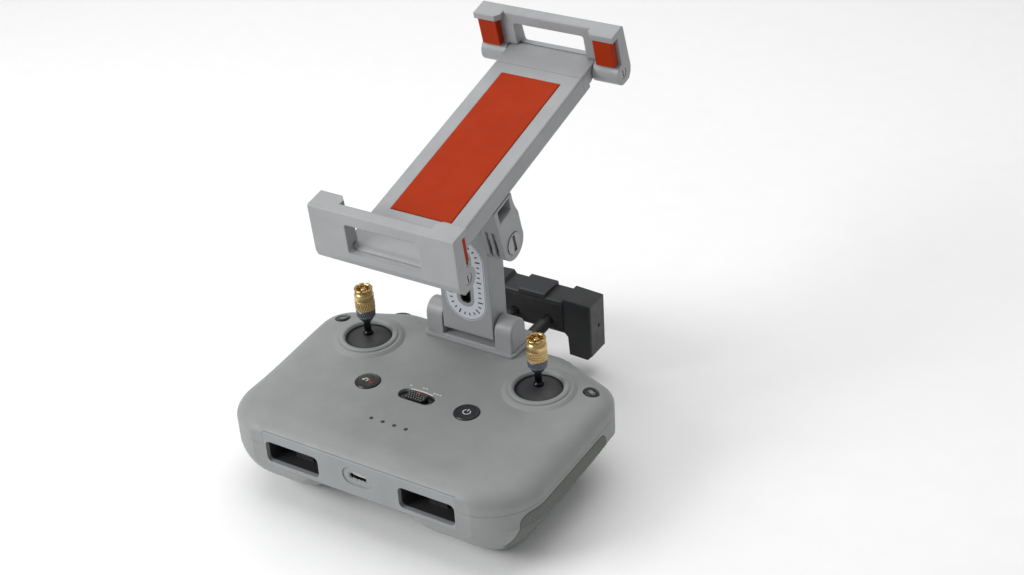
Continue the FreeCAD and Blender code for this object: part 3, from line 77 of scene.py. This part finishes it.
class Shader:
    """A material's node tree with short ways to add and join nodes."""

    def __init__(self, name):
        self.material = bpy.data.materials.new(name)
        self.material.use_nodes = True
        self.tree = self.material.node_tree
        self.principled = self.tree.nodes["Principled BSDF"]

    def add(self, kind, settings=None, **inputs):
        node = self.tree.nodes.new(kind)
        for key, value in (settings or {}).items():
            setattr(node, key, value)
        for key, value in inputs.items():
            self.feed(node.inputs[key.replace("_", " ")], value)
        return node

    def feed(self, socket, value):
        if isinstance(value, bpy.types.NodeSocket):
            self.tree.links.new(value, socket)
        else:
            socket.default_value = value

    def maths(self, operation, first, second=0.0):
        node = self.tree.nodes.new("ShaderNodeMath")
        node.operation = operation
        node.use_clamp = operation in ("MULTIPLY", "SUBTRACT")
        self.feed(node.inputs[0], first)
        self.feed(node.inputs[1], second)
        return node.outputs[0]

    def between(self, value, low, high, to_low, to_high):
        node = self.add("ShaderNodeMapRange", Value=value, From_Min=low, From_Max=high,
                        To_Min=to_low, To_Max=to_high)
        return node.outputs["Result"]

    def blend(self, factor, first, second):
        node = self.tree.nodes.new("ShaderNodeMix")
        node.data_type = "RGBA"
        self.feed(node.inputs[0], factor)
        self.feed(node.inputs[6], first)
        self.feed(node.inputs[7], second)
        return node.outputs[2]

    def noise(self, size, detail=3.0):
        """A noise pattern whose spots are about size millimetres across."""
        place = self.add("ShaderNodeTexCoord").outputs["Object"]
        node = self.add("ShaderNodeTexNoise", Vector=place, Scale=1 / (size * MM), Detail=detail)
        return node.outputs["Fac"]


def drifting(shader, colour, mottle, fine):
    """The colour with slow patches of light and dark, and a fine darker speckle."""
    patches = shader.between(shader.noise(14), 0.3, 0.7, 0.0, 1.0)
    base = shader.blend(patches, scaled(colour, 1 - mottle), scaled(colour, 1 + mottle))
    speckle = shader.between(fine, 0.35, 0.75, 0.0, 0.5)
    return shader.blend(speckle, base, scaled(colour, 1 - 1.5 * mottle))


def rubbed_edges(shader, soft, smudge):
    """How worn a point is: most where the softened and the true normals part, at an edge."""
    true = shader.add("ShaderNodeNewGeometry").outputs["Normal"]
    facing = shader.add("ShaderNodeVectorMath", {"operation": "DOT_PRODUCT"})
    shader.feed(facing.inputs[0], soft)
    shader.feed(facing.inputs[1], true)
    edges = shader.between(facing.outputs["Value"], 0.99, 0.8, 0.0, 1.0)
    patchy = shader.between(smudge, 0.35, 0.65, 0.25, 1.0)
    return shader.maths("MULTIPLY", edges, patchy)


def finish(name, colour, rough, metal=0.0, grain=0.35, depth=0.012, mottle=0.06, edge=0.5, wear=0.25,
           worn=None, coat=0.0, shine=0.5):
    """A moulded, painted or machined finish.

    grain is the size of the surface texture and depth its height; mottle is how much the colour drifts;
    edge is the radius that sharp edges are softened by, and wear how far they are rubbed to the worn colour;
    shine is the strength of the reflection off a plastic or rubber surface.
    """
    shader = Shader(name)
    fine = shader.noise(grain, 2.0)
    smudge = shader.noise(5, 5.0)
    soft = shader.add("ShaderNodeBevel", {"samples": 4}, Radius=edge * MM).outputs["Normal"]
    skin = drifting(shader, colour, mottle, fine)
    rubbed = shader.maths("MULTIPLY", rubbed_edges(shader, soft, smudge), wear)
    feeds = {
        "Base Color": shader.blend(rubbed, skin, worn or scaled(colour, 1.5)),
        "Roughness": shader.between(smudge, 0.3, 0.7, rough - 0.06, rough + 0.07),
        "Metallic": metal,
        "Coat Weight": coat,
        "Specular IOR Level": shine,
    }
    for socket, value in feeds.items():
        shader.feed(shader.principled.inputs[socket], value)
    bump = shader.add("ShaderNodeBump", Height=fine, Distance=depth * MM, Strength=1.0, Normal=soft)
    shader.feed(shader.principled.inputs["Normal"], bump.outputs["Normal"])
    return shader.material


LOOKS = {
    "casing_grey": finish("casing_grey", srgb(142, 144, 144), 0.5, edge=0.35, wear=0.3),
    "side_pad": finish("side_pad", srgb(104, 108, 104), 0.78, grain=0.25, depth=0.02, edge=0.3),
    "black_plastic": finish("black_plastic", srgb(48, 48, 50), 0.5, edge=0.3, mottle=0.12),
    "black_gloss": finish("black_gloss", srgb(23, 23, 25), 0.36, edge=0.35, wear=0.3, depth=0.006,
                          coat=0.15),
    "port_steel": finish("port_steel", srgb(178, 178, 176), 0.3, metal=1.0, depth=0.004, edge=0.15),
    "board_green": finish("board_green", srgb(24, 74, 46), 0.42, mottle=0.15, coat=0.3,
                          worn=srgb(160, 130, 70)),
    "pack_blue": finish("pack_blue", srgb(40, 70, 120), 0.4, mottle=0.1, edge=0.6),
    "screw_steel": finish("screw_steel", srgb(150, 150, 152), 0.32, metal=1.0, depth=0.004, edge=0.2),
    "switch_black": finish("switch_black", srgb(30, 30, 30), 0.5, mottle=0.15),
    "lens_clear": finish("lens_clear", srgb(36, 38, 40), 0.2, depth=0.002, edge=0.1, coat=0.5),
    "shaft_steel": finish("shaft_steel", srgb(46, 46, 50), 0.22, metal=1.0, depth=0.003, edge=0.3),
    "gunmetal": finish("gunmetal", srgb(118, 121, 128), 0.42, metal=1.0, mottle=0.15, depth=0.004, edge=0.08,
                       wear=0.6, worn=srgb(190, 192, 198)),
    "brass": finish("brass", srgb(206, 178, 124), 0.26, metal=1.0, mottle=0.1, depth=0.003, edge=0.08,
                    wear=0.6,
                    worn=srgb(250, 226, 170)),
    "holder_black": finish("holder_black", srgb(42, 43, 45), 0.46, mottle=0.12, edge=0.5, wear=0.45,
                           worn=srgb(120, 122, 124)),
    "antenna_copper": finish("antenna_copper", srgb(176, 104, 64), 0.4, metal=1.0, mottle=0.1),
    "rubber_black": finish("rubber_black", srgb(34, 34, 35), 0.82, grain=0.2, depth=0.02, mottle=0.15),
    "bracket_grey": finish("bracket_grey", srgb(153, 155, 157), 0.42, grain=0.3, depth=0.01, edge=0.75,
                           wear=0.35,
                           worn=srgb(214, 216, 220)),
    "label_white": finish("label_white", srgb(206, 210, 218), 0.4, depth=0.003, edge=0.1, wear=0.1),
    "orange_silicone": finish("orange_silicone", srgb(162, 48, 12), 0.6, grain=0.2, depth=0.012, mottle=0.06,
                              edge=0.3, wear=0.2, worn=srgb(206, 84, 48), shine=0.1),
}
# The front panel: a copy of the casing grey made a little lighter, as painted light for the extra light its
# front face catches; its rubbed edges go to a paler worn colour than the casing's.
PANEL_LIT_LOOK = finish("panel_grey_lit", srgb(145, 148, 149), 0.46, edge=0.35, wear=0.4, worn=srgb(225, 226, 226))
PRINT_WHITE = finish("print_white", srgb(214, 216, 218), 0.5, depth=0.002, edge=0.05, wear=0.0)
PRINT_RED = finish("print_red", srgb(150, 40, 34), 0.5, depth=0.002, edge=0.05, wear=0.0)
PRINT_DARK = finish("print_dark", srgb(52, 54, 62), 0.5, depth=0.002, edge=0.05, wear=0.0)


def dress_nodes():
    """Give every packed sub-part the look of its material slot."""
    for part in frame["record"]["subparts"]:
        materials = frame["nodes"][part["node"]].data.materials
        materials.clear()
        materials.append(LOOKS[part["material_slot"]])
    # Painted light: the front panel takes the lighter copy of the casing grey in place of its slot's look.
    panel = frame["nodes"]["front_panel"].data.materials
    panel[0] = PANEL_LIT_LOOK


# ---------------------------------------------------------------- pieces
def add_piece(name, mesh, look, body, stands_for=()):
    """Put a finished mesh in the scene, on a body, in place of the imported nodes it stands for."""
    mesh.materials.clear()
    mesh.materials.append(look)
    piece = bpy.data.objects.new(name, mesh)
    bpy.context.scene.collection.objects.link(piece)
    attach(piece, body)
    if stands_for:
        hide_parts(*stands_for)
    return piece


def mesh_of(name, points, faces):
    """A smooth mesh from points in millimetres."""
    mesh = bpy.data.meshes.new(name)
    mesh.from_pydata([tuple(c * MM for c in point) for point in points], [], faces)
    mesh.update()
    mesh.shade_smooth()
    return mesh


def spaced(profile, step):
    """The profile with extra points, so that no two are further apart than step."""
    points = []
    for (r0, z0), (r1, z1) in zip(profile, profile[1:]):
        count = max(1, math.ceil(math.hypot(r1 - r0, z1 - z0) / step))
        points += [(r0 + (r1 - r0) * i / count, z0 + (z1 - z0) * i / count) for i in range(count)]
    return points + [profile[-1]]


def lathe(name, profile, centre, shape, segments=224, step=0.14):
    """A turned body about a vertical axis; shape(r, z, angle) moves each point, as a knurl does."""
    rows = spaced(profile, step)
    points = []
    for r, z in rows:
        for i in range(segments):
            angle = 2 * math.pi * i / segments
            reach, level = shape(r, z, angle)
            points.append((centre[0] + reach * math.cos(angle), centre[1] + reach * math.sin(angle), level))
    faces = []
    for row in range(len(rows) - 1):
        for i in range(segments):
            a = row * segments + i
            b = row * segments + (i + 1) % segments
            faces.append((a, b, b + segments, a + segments))
    faces.append(tuple(reversed(range(segments))))
    faces.append(tuple(range((len(rows) - 1) * segments, len(rows) * segments)))
    return mesh_of(name, points, faces)


def knurl(r, z, angle, low, high, teeth, rise, depth):
    """The depth of a diamond knurl cut at one point; rise is how far a groove climbs in one tooth."""
    if not low < z < high:
        return 0.0
    turn = teeth * angle / (2 * math.pi)
    ridge = abs(math.sin(math.pi * (turn + z / rise))) * abs(math.sin(math.pi * (turn - z / rise)))
    fade = min(1.0, (z - low) / 0.3, (high - z) / 0.3)
    return depth * (1 - ridge ** 0.7) * fade


# ---------------------------------------------------------------- stick ends
CAP_PROFILE = [
    # the knurled band, the polished shoulder, the flared crown and the stud in its hollow
    (0.05, 58.96), (4.1, 58.96), (4.4, 59.3), (4.5, 59.7), (4.5, 63.5), (4.2, 63.9),
    (4.2, 64.3), (4.42, 64.6), (4.45, 65.5), (4.42, 66.4), (4.1, 67.2), (3.65, 67.8),
    (3.7, 68.2), (4.0, 69.2), (4.0, 69.5), (3.8, 69.7), (2.95, 69.7), (2.7, 69.3), (2.45, 67.4),
    (2.3, 67.0), (1.3, 67.0), (1.25, 68.9), (1.0, 69.2), (0.5, 69.2), (0.4, 68.8), (0.05, 68.8),
]
COLLAR_PROFILE = [(1.66, 52.82), (2.3, 52.82), (2.6, 53.2), (4.2, 55.6), (4.4, 58.4), (4.1, 58.88),
                  (1.66, 58.88)]
CROWN_LOW = 67.9
CROWN_HIGH = 69.7
PETALS = 8
NOTCH_HALF = 0.17


def cap_shape(r, z, angle):
    """A knurled band, a polished shoulder and a crown of rounded petals."""
    r -= knurl(r, z, angle, 59.4, 63.8, 26, 2.6, 0.42) if r > 4 else 0.0
    if r > 2.4 and z > CROWN_LOW:
        turn = PETALS * angle / (2 * math.pi) + 0.5
        away = abs(turn - round(turn)) * 2
        petal = 1 - 0.75 * math.exp(-((away / NOTCH_HALF) ** 4))
        lift = (z - CROWN_LOW) / (CROWN_HIGH - CROWN_LOW)
        z = CROWN_LOW + (z - CROWN_LOW) * petal
        r += 0.2 * lift * petal
    return r, z


def collar_shape(r, z, angle):
    return r - (knurl(r, z, angle, 55.7, 58.5, 26, 1.9, 0.36) if r > 4 else 0.0), z


def build_stick_ends():
    for side, x in (("left", -STICK_X), ("right", STICK_X)):
        centre = (x, STICK_Y)
        cap = lathe(f"{side}_cap_mesh", CAP_PROFILE, centre, cap_shape)
        add_piece(f"{side}_knurled_cap", cap, LOOKS["brass"], f"{side}_stick",
                  [f"{side}_stick_cap"])
        collar = lathe(f"{side}_collar_mesh", COLLAR_PROFILE, centre, collar_shape)
        add_piece(f"{side}_knurled_collar", collar, LOOKS["gunmetal"], f"{side}_stick",
                  [f"{side}_stick_collar"])


# ---------------------------------------------------------------- soft parts
def softened(node, voxel, rounds, relief):
    """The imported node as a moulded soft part.

    Its edges are rounded, and relief(points, normals) is raised along the normals.
    """
    rough = bpy.data.objects.new(node + "_work", frame["nodes"][node].data.copy())
    bpy.context.scene.collection.objects.link(rough)
    weld = rough.modifiers.new("weld", "WELD")
    weld.merge_threshold = 0.002 * MM
    remesh = rough.modifiers.new("remesh", "REMESH")
    remesh.mode = "VOXEL"
    remesh.voxel_size = voxel * MM
    smooth = rough.modifiers.new("smooth", "SMOOTH")
    smooth.iterations = rounds
    view = bpy.context.evaluated_depsgraph_get()
    mesh = bpy.data.meshes.new_from_object(rough.evaluated_get(view))
    bpy.data.objects.remove(rough)
    count = len(mesh.vertices)
    points = np.zeros(count * 3)
    normals = np.zeros(count * 3)
    mesh.vertices.foreach_get("co", points)
    mesh.vertices.foreach_get("normal", normals)
    points = points.reshape(-1, 3)
    normals = normals.reshape(-1, 3)
    height = relief(points / MM, normals)
    mesh.vertices.foreach_set("co", (points + normals * height[:, None] * MM).ravel())
    mesh.update()
    mesh.shade_smooth()
    mesh.name = node + "_soft"
    return mesh


def wavy(points, pitch):
    """A slow uneven swell over a surface, between -1 and 1."""
    x, y, z = (points / pitch).T
    return np.sin(x + 0.7 * y) * np.cos(y * 0.9 + z) * 0.6 + np.sin(1.7 * x - z) * np.cos(1.3 * y) * 0.4


def pebbled(points, normals):
    return 0.025 * wavy(points, 0.22) + 0.03 * wavy(points, 3.0)


def diamond_studs(points, normals):
    """Small pyramids on the side grips, set out over the height and the length."""
    along = points[:, 1] / 0.95
    up = points[:, 2] / 0.95
    peak = np.abs(np.sin(np.pi * (along + up) / 2)) * np.abs(np.sin(np.pi * (along - up) / 2))
    return 0.13 * peak * np.clip(np.abs(normals[:, 0]) * 1.4, 0, 1) - 0.04


def ribbed(points, normals):
    """Level ribs across the face that a phone leans on."""
    front = np.clip(-normals[:, 1], 0, 1)
    return 0.16 * front * np.abs(np.sin(np.pi * points[:, 2] / 1.8)) + 0.02 * wavy(points, 2.0)


def build_soft_parts():
    soft = (
        ("tray_mat", "tray_head", "orange_silicone", 0.34, 3, pebbled),
        ("upper_jaw_grips", "upper_jaw_unit", "orange_silicone", 0.22, 5, pebbled),
        ("lower_jaw_grips", "lower_jaw_unit", "orange_silicone", 0.22, 5, pebbled),
        ("left_side_grip", "casing", "side_pad", 0.24, 2, diamond_studs),
        ("right_side_grip", "casing", "side_pad", 0.24, 2, diamond_studs),
        ("holder_pad", "phone_holder", "rubber_black", 0.24, 3, ribbed),
        ("bracket_base_pad", "casing", "rubber_black", 0.3, 2, pebbled),
        ("tilt_washers", "tray_head", "rubber_black", 0.24, 2, pebbled),
    )
    for node, body, slot, voxel, rounds, relief in soft:
        mesh = softened(node, voxel, rounds, relief)
        add_piece(node + "_soft", mesh, LOOKS[slot], body, [node])


# ---------------------------------------------------------------- printed marks
def ribbon(path, width, closed=False):
    """One printed line: a flat band along path, standing PRINT_HEIGHT above its plane."""
    count = len(path)
    points = []
    for i, (x, y) in enumerate(path):
        before = path[i - 1] if i or closed else path[i]
        after = path[(i + 1) % count] if i < count - 1 or closed else path[i]
        dx, dy = after[0] - before[0], after[1] - before[1]
        scale = width / 2 / math.hypot(dx, dy)
        for level in (-PRINT_HEIGHT, PRINT_HEIGHT):
            points.append((x - dy * scale, y + dx * scale, level))
            points.append((x + dy * scale, y - dx * scale, level))
    faces = []
    for i in range(count if closed else count - 1):
        a = 4 * i
        b = 4 * ((i + 1) % count)
        faces += [(a + 2, a + 3, b + 3, b + 2), (a, b, b + 1, a + 1)]
        faces += [(a, a + 2, b + 2, b), (a + 1, b + 1, b + 3, a + 3)]
    if not closed:
        last = 4 * (count - 1)
        faces += [(0, 1, 3, 2), (last, last + 2, last + 3, last + 1)]
    return points, faces


def arc(centre, radius, start, end, count=24):
    angles = [math.radians(start + (end - start) * i / (count - 1)) for i in range(count)]
    return [(centre[0] + radius * math.cos(a), centre[1] + radius * math.sin(a)) for a in angles]


def ring(centre, radius, count=32):
    return arc(centre, radius, 0, 360 * (count - 1) / count, count)


def printed(name, lines, place, look, body):
    """A printed mark made of (path, width, closed) lines, drawn in a plane and moved by place."""
    points, faces = [], []
    for path, width, closed in lines:
        new_points, new_faces = ribbon(path, width, closed)
        faces += [tuple(i + len(points) for i in face) for face in new_faces]
        points += [tuple(place @ Vector(p)) for p in new_points]
    mesh = mesh_of(name + "_mesh", points, faces)
    for face in mesh.polygons:
        face.use_smooth = False
    return add_piece(name, mesh, look, body)


def flat_at(x, y, z):
    return Matrix.Translation((x, y, z))


def leaning_at(side):
    """The face of a small shoulder button; side is 1 for the right one."""
    axis = Vector((side * SMALL_BUTTON_AXIS[0], *SMALL_BUTTON_AXIS[1:]))
    seat = Vector((side * SMALL_BUTTON_SEAT[0], *SMALL_BUTTON_SEAT[1:]))
    across = Vector((1, 0, 0)) - axis * axis.x
    across.normalize()
    turn = Matrix((across, axis.cross(across), axis)).transposed().to_4x4()
    return Matrix.Translation(seat + axis * SMALL_BUTTON_FACE) @ turn


def build_button_marks():
    power = [(arc((0, 0), 1.6, 125, 415), 0.4, False), ([(0, 0.5), (0, 2.1)], 0.4, False)]
    printed("power_mark", power, flat_at(BUTTON_X, BUTTON_Y, BUTTON_TOP), PRINT_WHITE, "power_key")
    home = flat_at(-BUTTON_X, BUTTON_Y, BUTTON_TOP)
    arrow = [(arc((-1.3, 0.2), 1.05, -60, 190), 0.36, False),
             ([(-3.0, 0.3), (-2.35, -0.5), (-1.7, 0.3)], 0.34, False)]
    printed("return_mark", arrow, home, PRINT_WHITE, "return_home_key")
    bars = [([(1.4, -1.3), (1.4, 0.5)], 0.5, False), ([(2.4, -1.3), (2.4, 0.5)], 0.5, False)]
    printed("pause_mark", bars, home, PRINT_RED, "return_home_key")
    camera = [([(-1.3, -0.9), (1.3, -0.9), (1.3, 0.8), (-1.3, 0.8)], 0.22, True),
              (ring((0, 0), 0.5), 0.2, True)]
    printed("photo_mark", camera, leaning_at(1), PRINT_WHITE, "photo_key")
    dots = [(ring((x, 0), 0.3, 12), 0.3, True) for x in (-1.2, 0, 1.2)]
    printed("function_mark", dots, leaning_at(-1), PRINT_WHITE, "function_key")


def build_mode_marks():
    place = flat_at(0, BUTTON_Y, CASING_TOP)
    edge = [(x, 4.15 - 0.018 * x * x) for x in np.linspace(-5.2, 6.2, 20)]
    lines = [(edge, 0.65, False)]
    for x, y, count in ((-6.6, 5.9, 1), (0.2, 6.6, 2), (7.2, 5.2, 3)):
        for i in range(count):
            start = x + (i - (count - 1) / 2) * 1.5
            lines.append(([(start - 0.45, y), (start + 0.45, y)], 0.7, False))
    printed("mode_marks", lines, place, PRINT_WHITE, "casing")
    thumb_top = CASING_TOP + 0.42
    mark = [([(-0.5, 1.2), (-0.5, 2.7)], 0.7, False), ([(0.45, 1.2), (0.45, 2.7)], 0.7, False)]
    printed("thumb_mark", mark, flat_at(0, BUTTON_Y, thumb_top), PRINT_RED, "mode_thumb")


def dome(centre, radius, rise, rings=3, spokes=12):
    """A low round dome on a face, as (points, faces) with its own numbering."""
    x, y, z = centre
    points = []
    for i in range(rings):
        tilt = math.pi / 2 * i / rings
        for j in range(spokes):
            turn = 2 * math.pi * j / spokes
            reach = radius * math.cos(tilt)
            points.append((x + reach * math.cos(turn), y + reach * math.sin(turn),
                           z + rise * math.sin(tilt)))
    points.append((x, y, z + rise))
    faces = []
    for i in range(rings - 1):
        for j in range(spokes):
            a = i * spokes + j
            b = i * spokes + (j + 1) % spokes
            faces.append((a, b, b + spokes, a + spokes))
    top = (rings - 1) * spokes
    faces += [(top + j, top + (j + 1) % spokes, len(points) - 1) for j in range(spokes)]
    return points, faces


def build_thumb_studs():
    """Rows of small domes on the sliding thumb, between its grooves."""
    points, faces = [], []
    for row in range(4):
        for column in range(7):
            x = (column - 3) * 1.2 + (0.3 if row % 2 else -0.3)
            y = BUTTON_Y + (row - 1.5) * 1.3
            new_points, new_faces = dome((x, y, CASING_TOP + 0.36), 0.34, 0.26)
            faces += [tuple(i + len(points) for i in face) for face in new_faces]
            points += new_points
    look = finish("stud_grey", srgb(128, 128, 130), 0.4, depth=0.003, edge=0.05)
    add_piece("thumb_studs", mesh_of("thumb_studs_mesh", points, faces), look, "mode_thumb")


LABEL_LOW = 56.8 + 10.7
LABEL_HIGH = 98.0 - 10.7
TICK_TRACK = 7.5
TICKS = 34
LABEL_RIM = 10.15


def round_label(distance):
    """The point and the outward direction at a distance along the tick track of the arm's label."""
    straight = LABEL_HIGH - LABEL_LOW
    bend = math.pi * TICK_TRACK
    distance %= 2 * (straight + bend)
    if distance < straight:
        return (TICK_TRACK, LABEL_LOW + distance), (1, 0)
    distance -= straight
    centre = LABEL_HIGH
    angle = distance / TICK_TRACK
    if bend <= distance < bend + straight:
        return (-TICK_TRACK, LABEL_HIGH - (distance - bend)), (-1, 0)
    if distance >= bend + straight:
        centre = LABEL_LOW
        angle = math.pi + (distance - bend - straight) / TICK_TRACK
    outward = (math.cos(angle), math.sin(angle))
    return (TICK_TRACK * outward[0], centre + TICK_TRACK * outward[1]), outward


def build_scale_marks():
    """Generic ticks round the arm's label, in place of any lettering."""
    length = 2 * (LABEL_HIGH - LABEL_LOW + math.pi * TICK_TRACK)
    lines = []
    for i in range(TICKS):
        (x, z), (dx, dz) = round_label(length * i / TICKS)
        half = 1.25 if i % 4 == 0 else 0.7
        lines.append(([(x - dx * half, z - dz * half), (x + dx * half, z + dz * half)], 0.65, False))
    outline = arc((0, LABEL_HIGH), LABEL_RIM, 0, 180) + arc((0, LABEL_LOW), LABEL_RIM, 180, 360)
    lines.append((outline, 0.22, True))
    stand_up = Matrix.Translation((0, ARM_FRONT, 0)) @ Matrix.Rotation(math.radians(90), 4, "X")
    printed("scale_marks", lines, stand_up, PRINT_DARK, "arm")


# ---------------------------------------------------------------- stage, light and camera
def build_floor():
    reach = 6.0
    mesh = bpy.data.meshes.new("floor_mesh")
    sink = -0.0001
    corners = [(-reach, -reach, sink), (reach, -reach, sink), (reach, reach, sink), (-reach, reach, sink)]
    mesh.from_pydata(corners, [], [(0, 1, 2, 3)])
    floor = bpy.data.objects.new("floor", mesh)
    bpy.context.scene.collection.objects.link(floor)
    pale = finish("floor_pale", srgb(250, 250, 250), 0.7, grain=4, depth=0.01, mottle=0.01, edge=0.1,
                  wear=0.0)
    mesh.materials.append(pale)


def softbox(name, place, aim, size, power):
    """A square area light at place, aimed at a point, both in metres."""
    light = bpy.data.lights.new(name, "AREA")
    light.shape = "SQUARE"
    light.size = size
    light.energy = power
    lamp = bpy.data.objects.new(name, light)
    lamp.location = place
    lamp.rotation_mode = "QUATERNION"
    lamp.rotation_quaternion = (Vector(place) - Vector(aim)).to_track_quat("Z", "Y")
    bpy.context.scene.collection.objects.link(lamp)


def light_stage():
    world = bpy.data.worlds.new("studio")
    world.use_nodes = True
    world.node_tree.nodes["Background"].inputs["Color"].default_value = (1.0, 1.0, 1.0, 1.0)
    world.node_tree.nodes["Background"].inputs["Strength"].default_value = 0.34
    bpy.context.scene.world = world
    bpy.context.scene.view_settings.view_transform = "Standard"
    middle = (0, 0, 0.05)
    softbox("overhead", (-0.1, 0.25, 1.0), middle, 1.2, 7.6)
    softbox("front_left", (-0.7, -0.8, 0.7), middle, 0.6, 9.0)


def place_camera():
    """The camera's place, direction and lens; the shift keeps its slightly off-centre axis."""
    azimuth, elevation, roll = (math.radians(a) for a in (33.8, 32.33, -4.27))
    flat = math.cos(elevation)
    back = Vector((math.sin(azimuth) * flat, -math.cos(azimuth) * flat, math.sin(elevation)))
    level = Vector((math.cos(azimuth), math.sin(azimuth), 0))
    upward = back.cross(level)
    right = level * math.cos(roll) + upward * math.sin(roll)
    top = upward * math.cos(roll) - level * math.sin(roll)
    data = bpy.data.cameras.new("camera")
    data.sensor_width = 36.0
    data.lens = 61.12
    data.shift_x = 0.022
    data.shift_y = 0.0003
    data.clip_start = 0.01
    camera = bpy.data.objects.new("camera", data)
    turn = Matrix((right, top, back)).transposed().to_4x4()
    camera.matrix_world = Matrix.Translation((0.36232, -0.48568, 0.47456)) @ turn
    bpy.context.scene.collection.objects.link(camera)
    bpy.context.scene.camera = camera


dress_nodes()
build_stick_ends()
build_soft_parts()
build_button_marks()
build_mode_marks()
build_thumb_studs()
build_scale_marks()
build_floor()
light_stage()
place_camera()
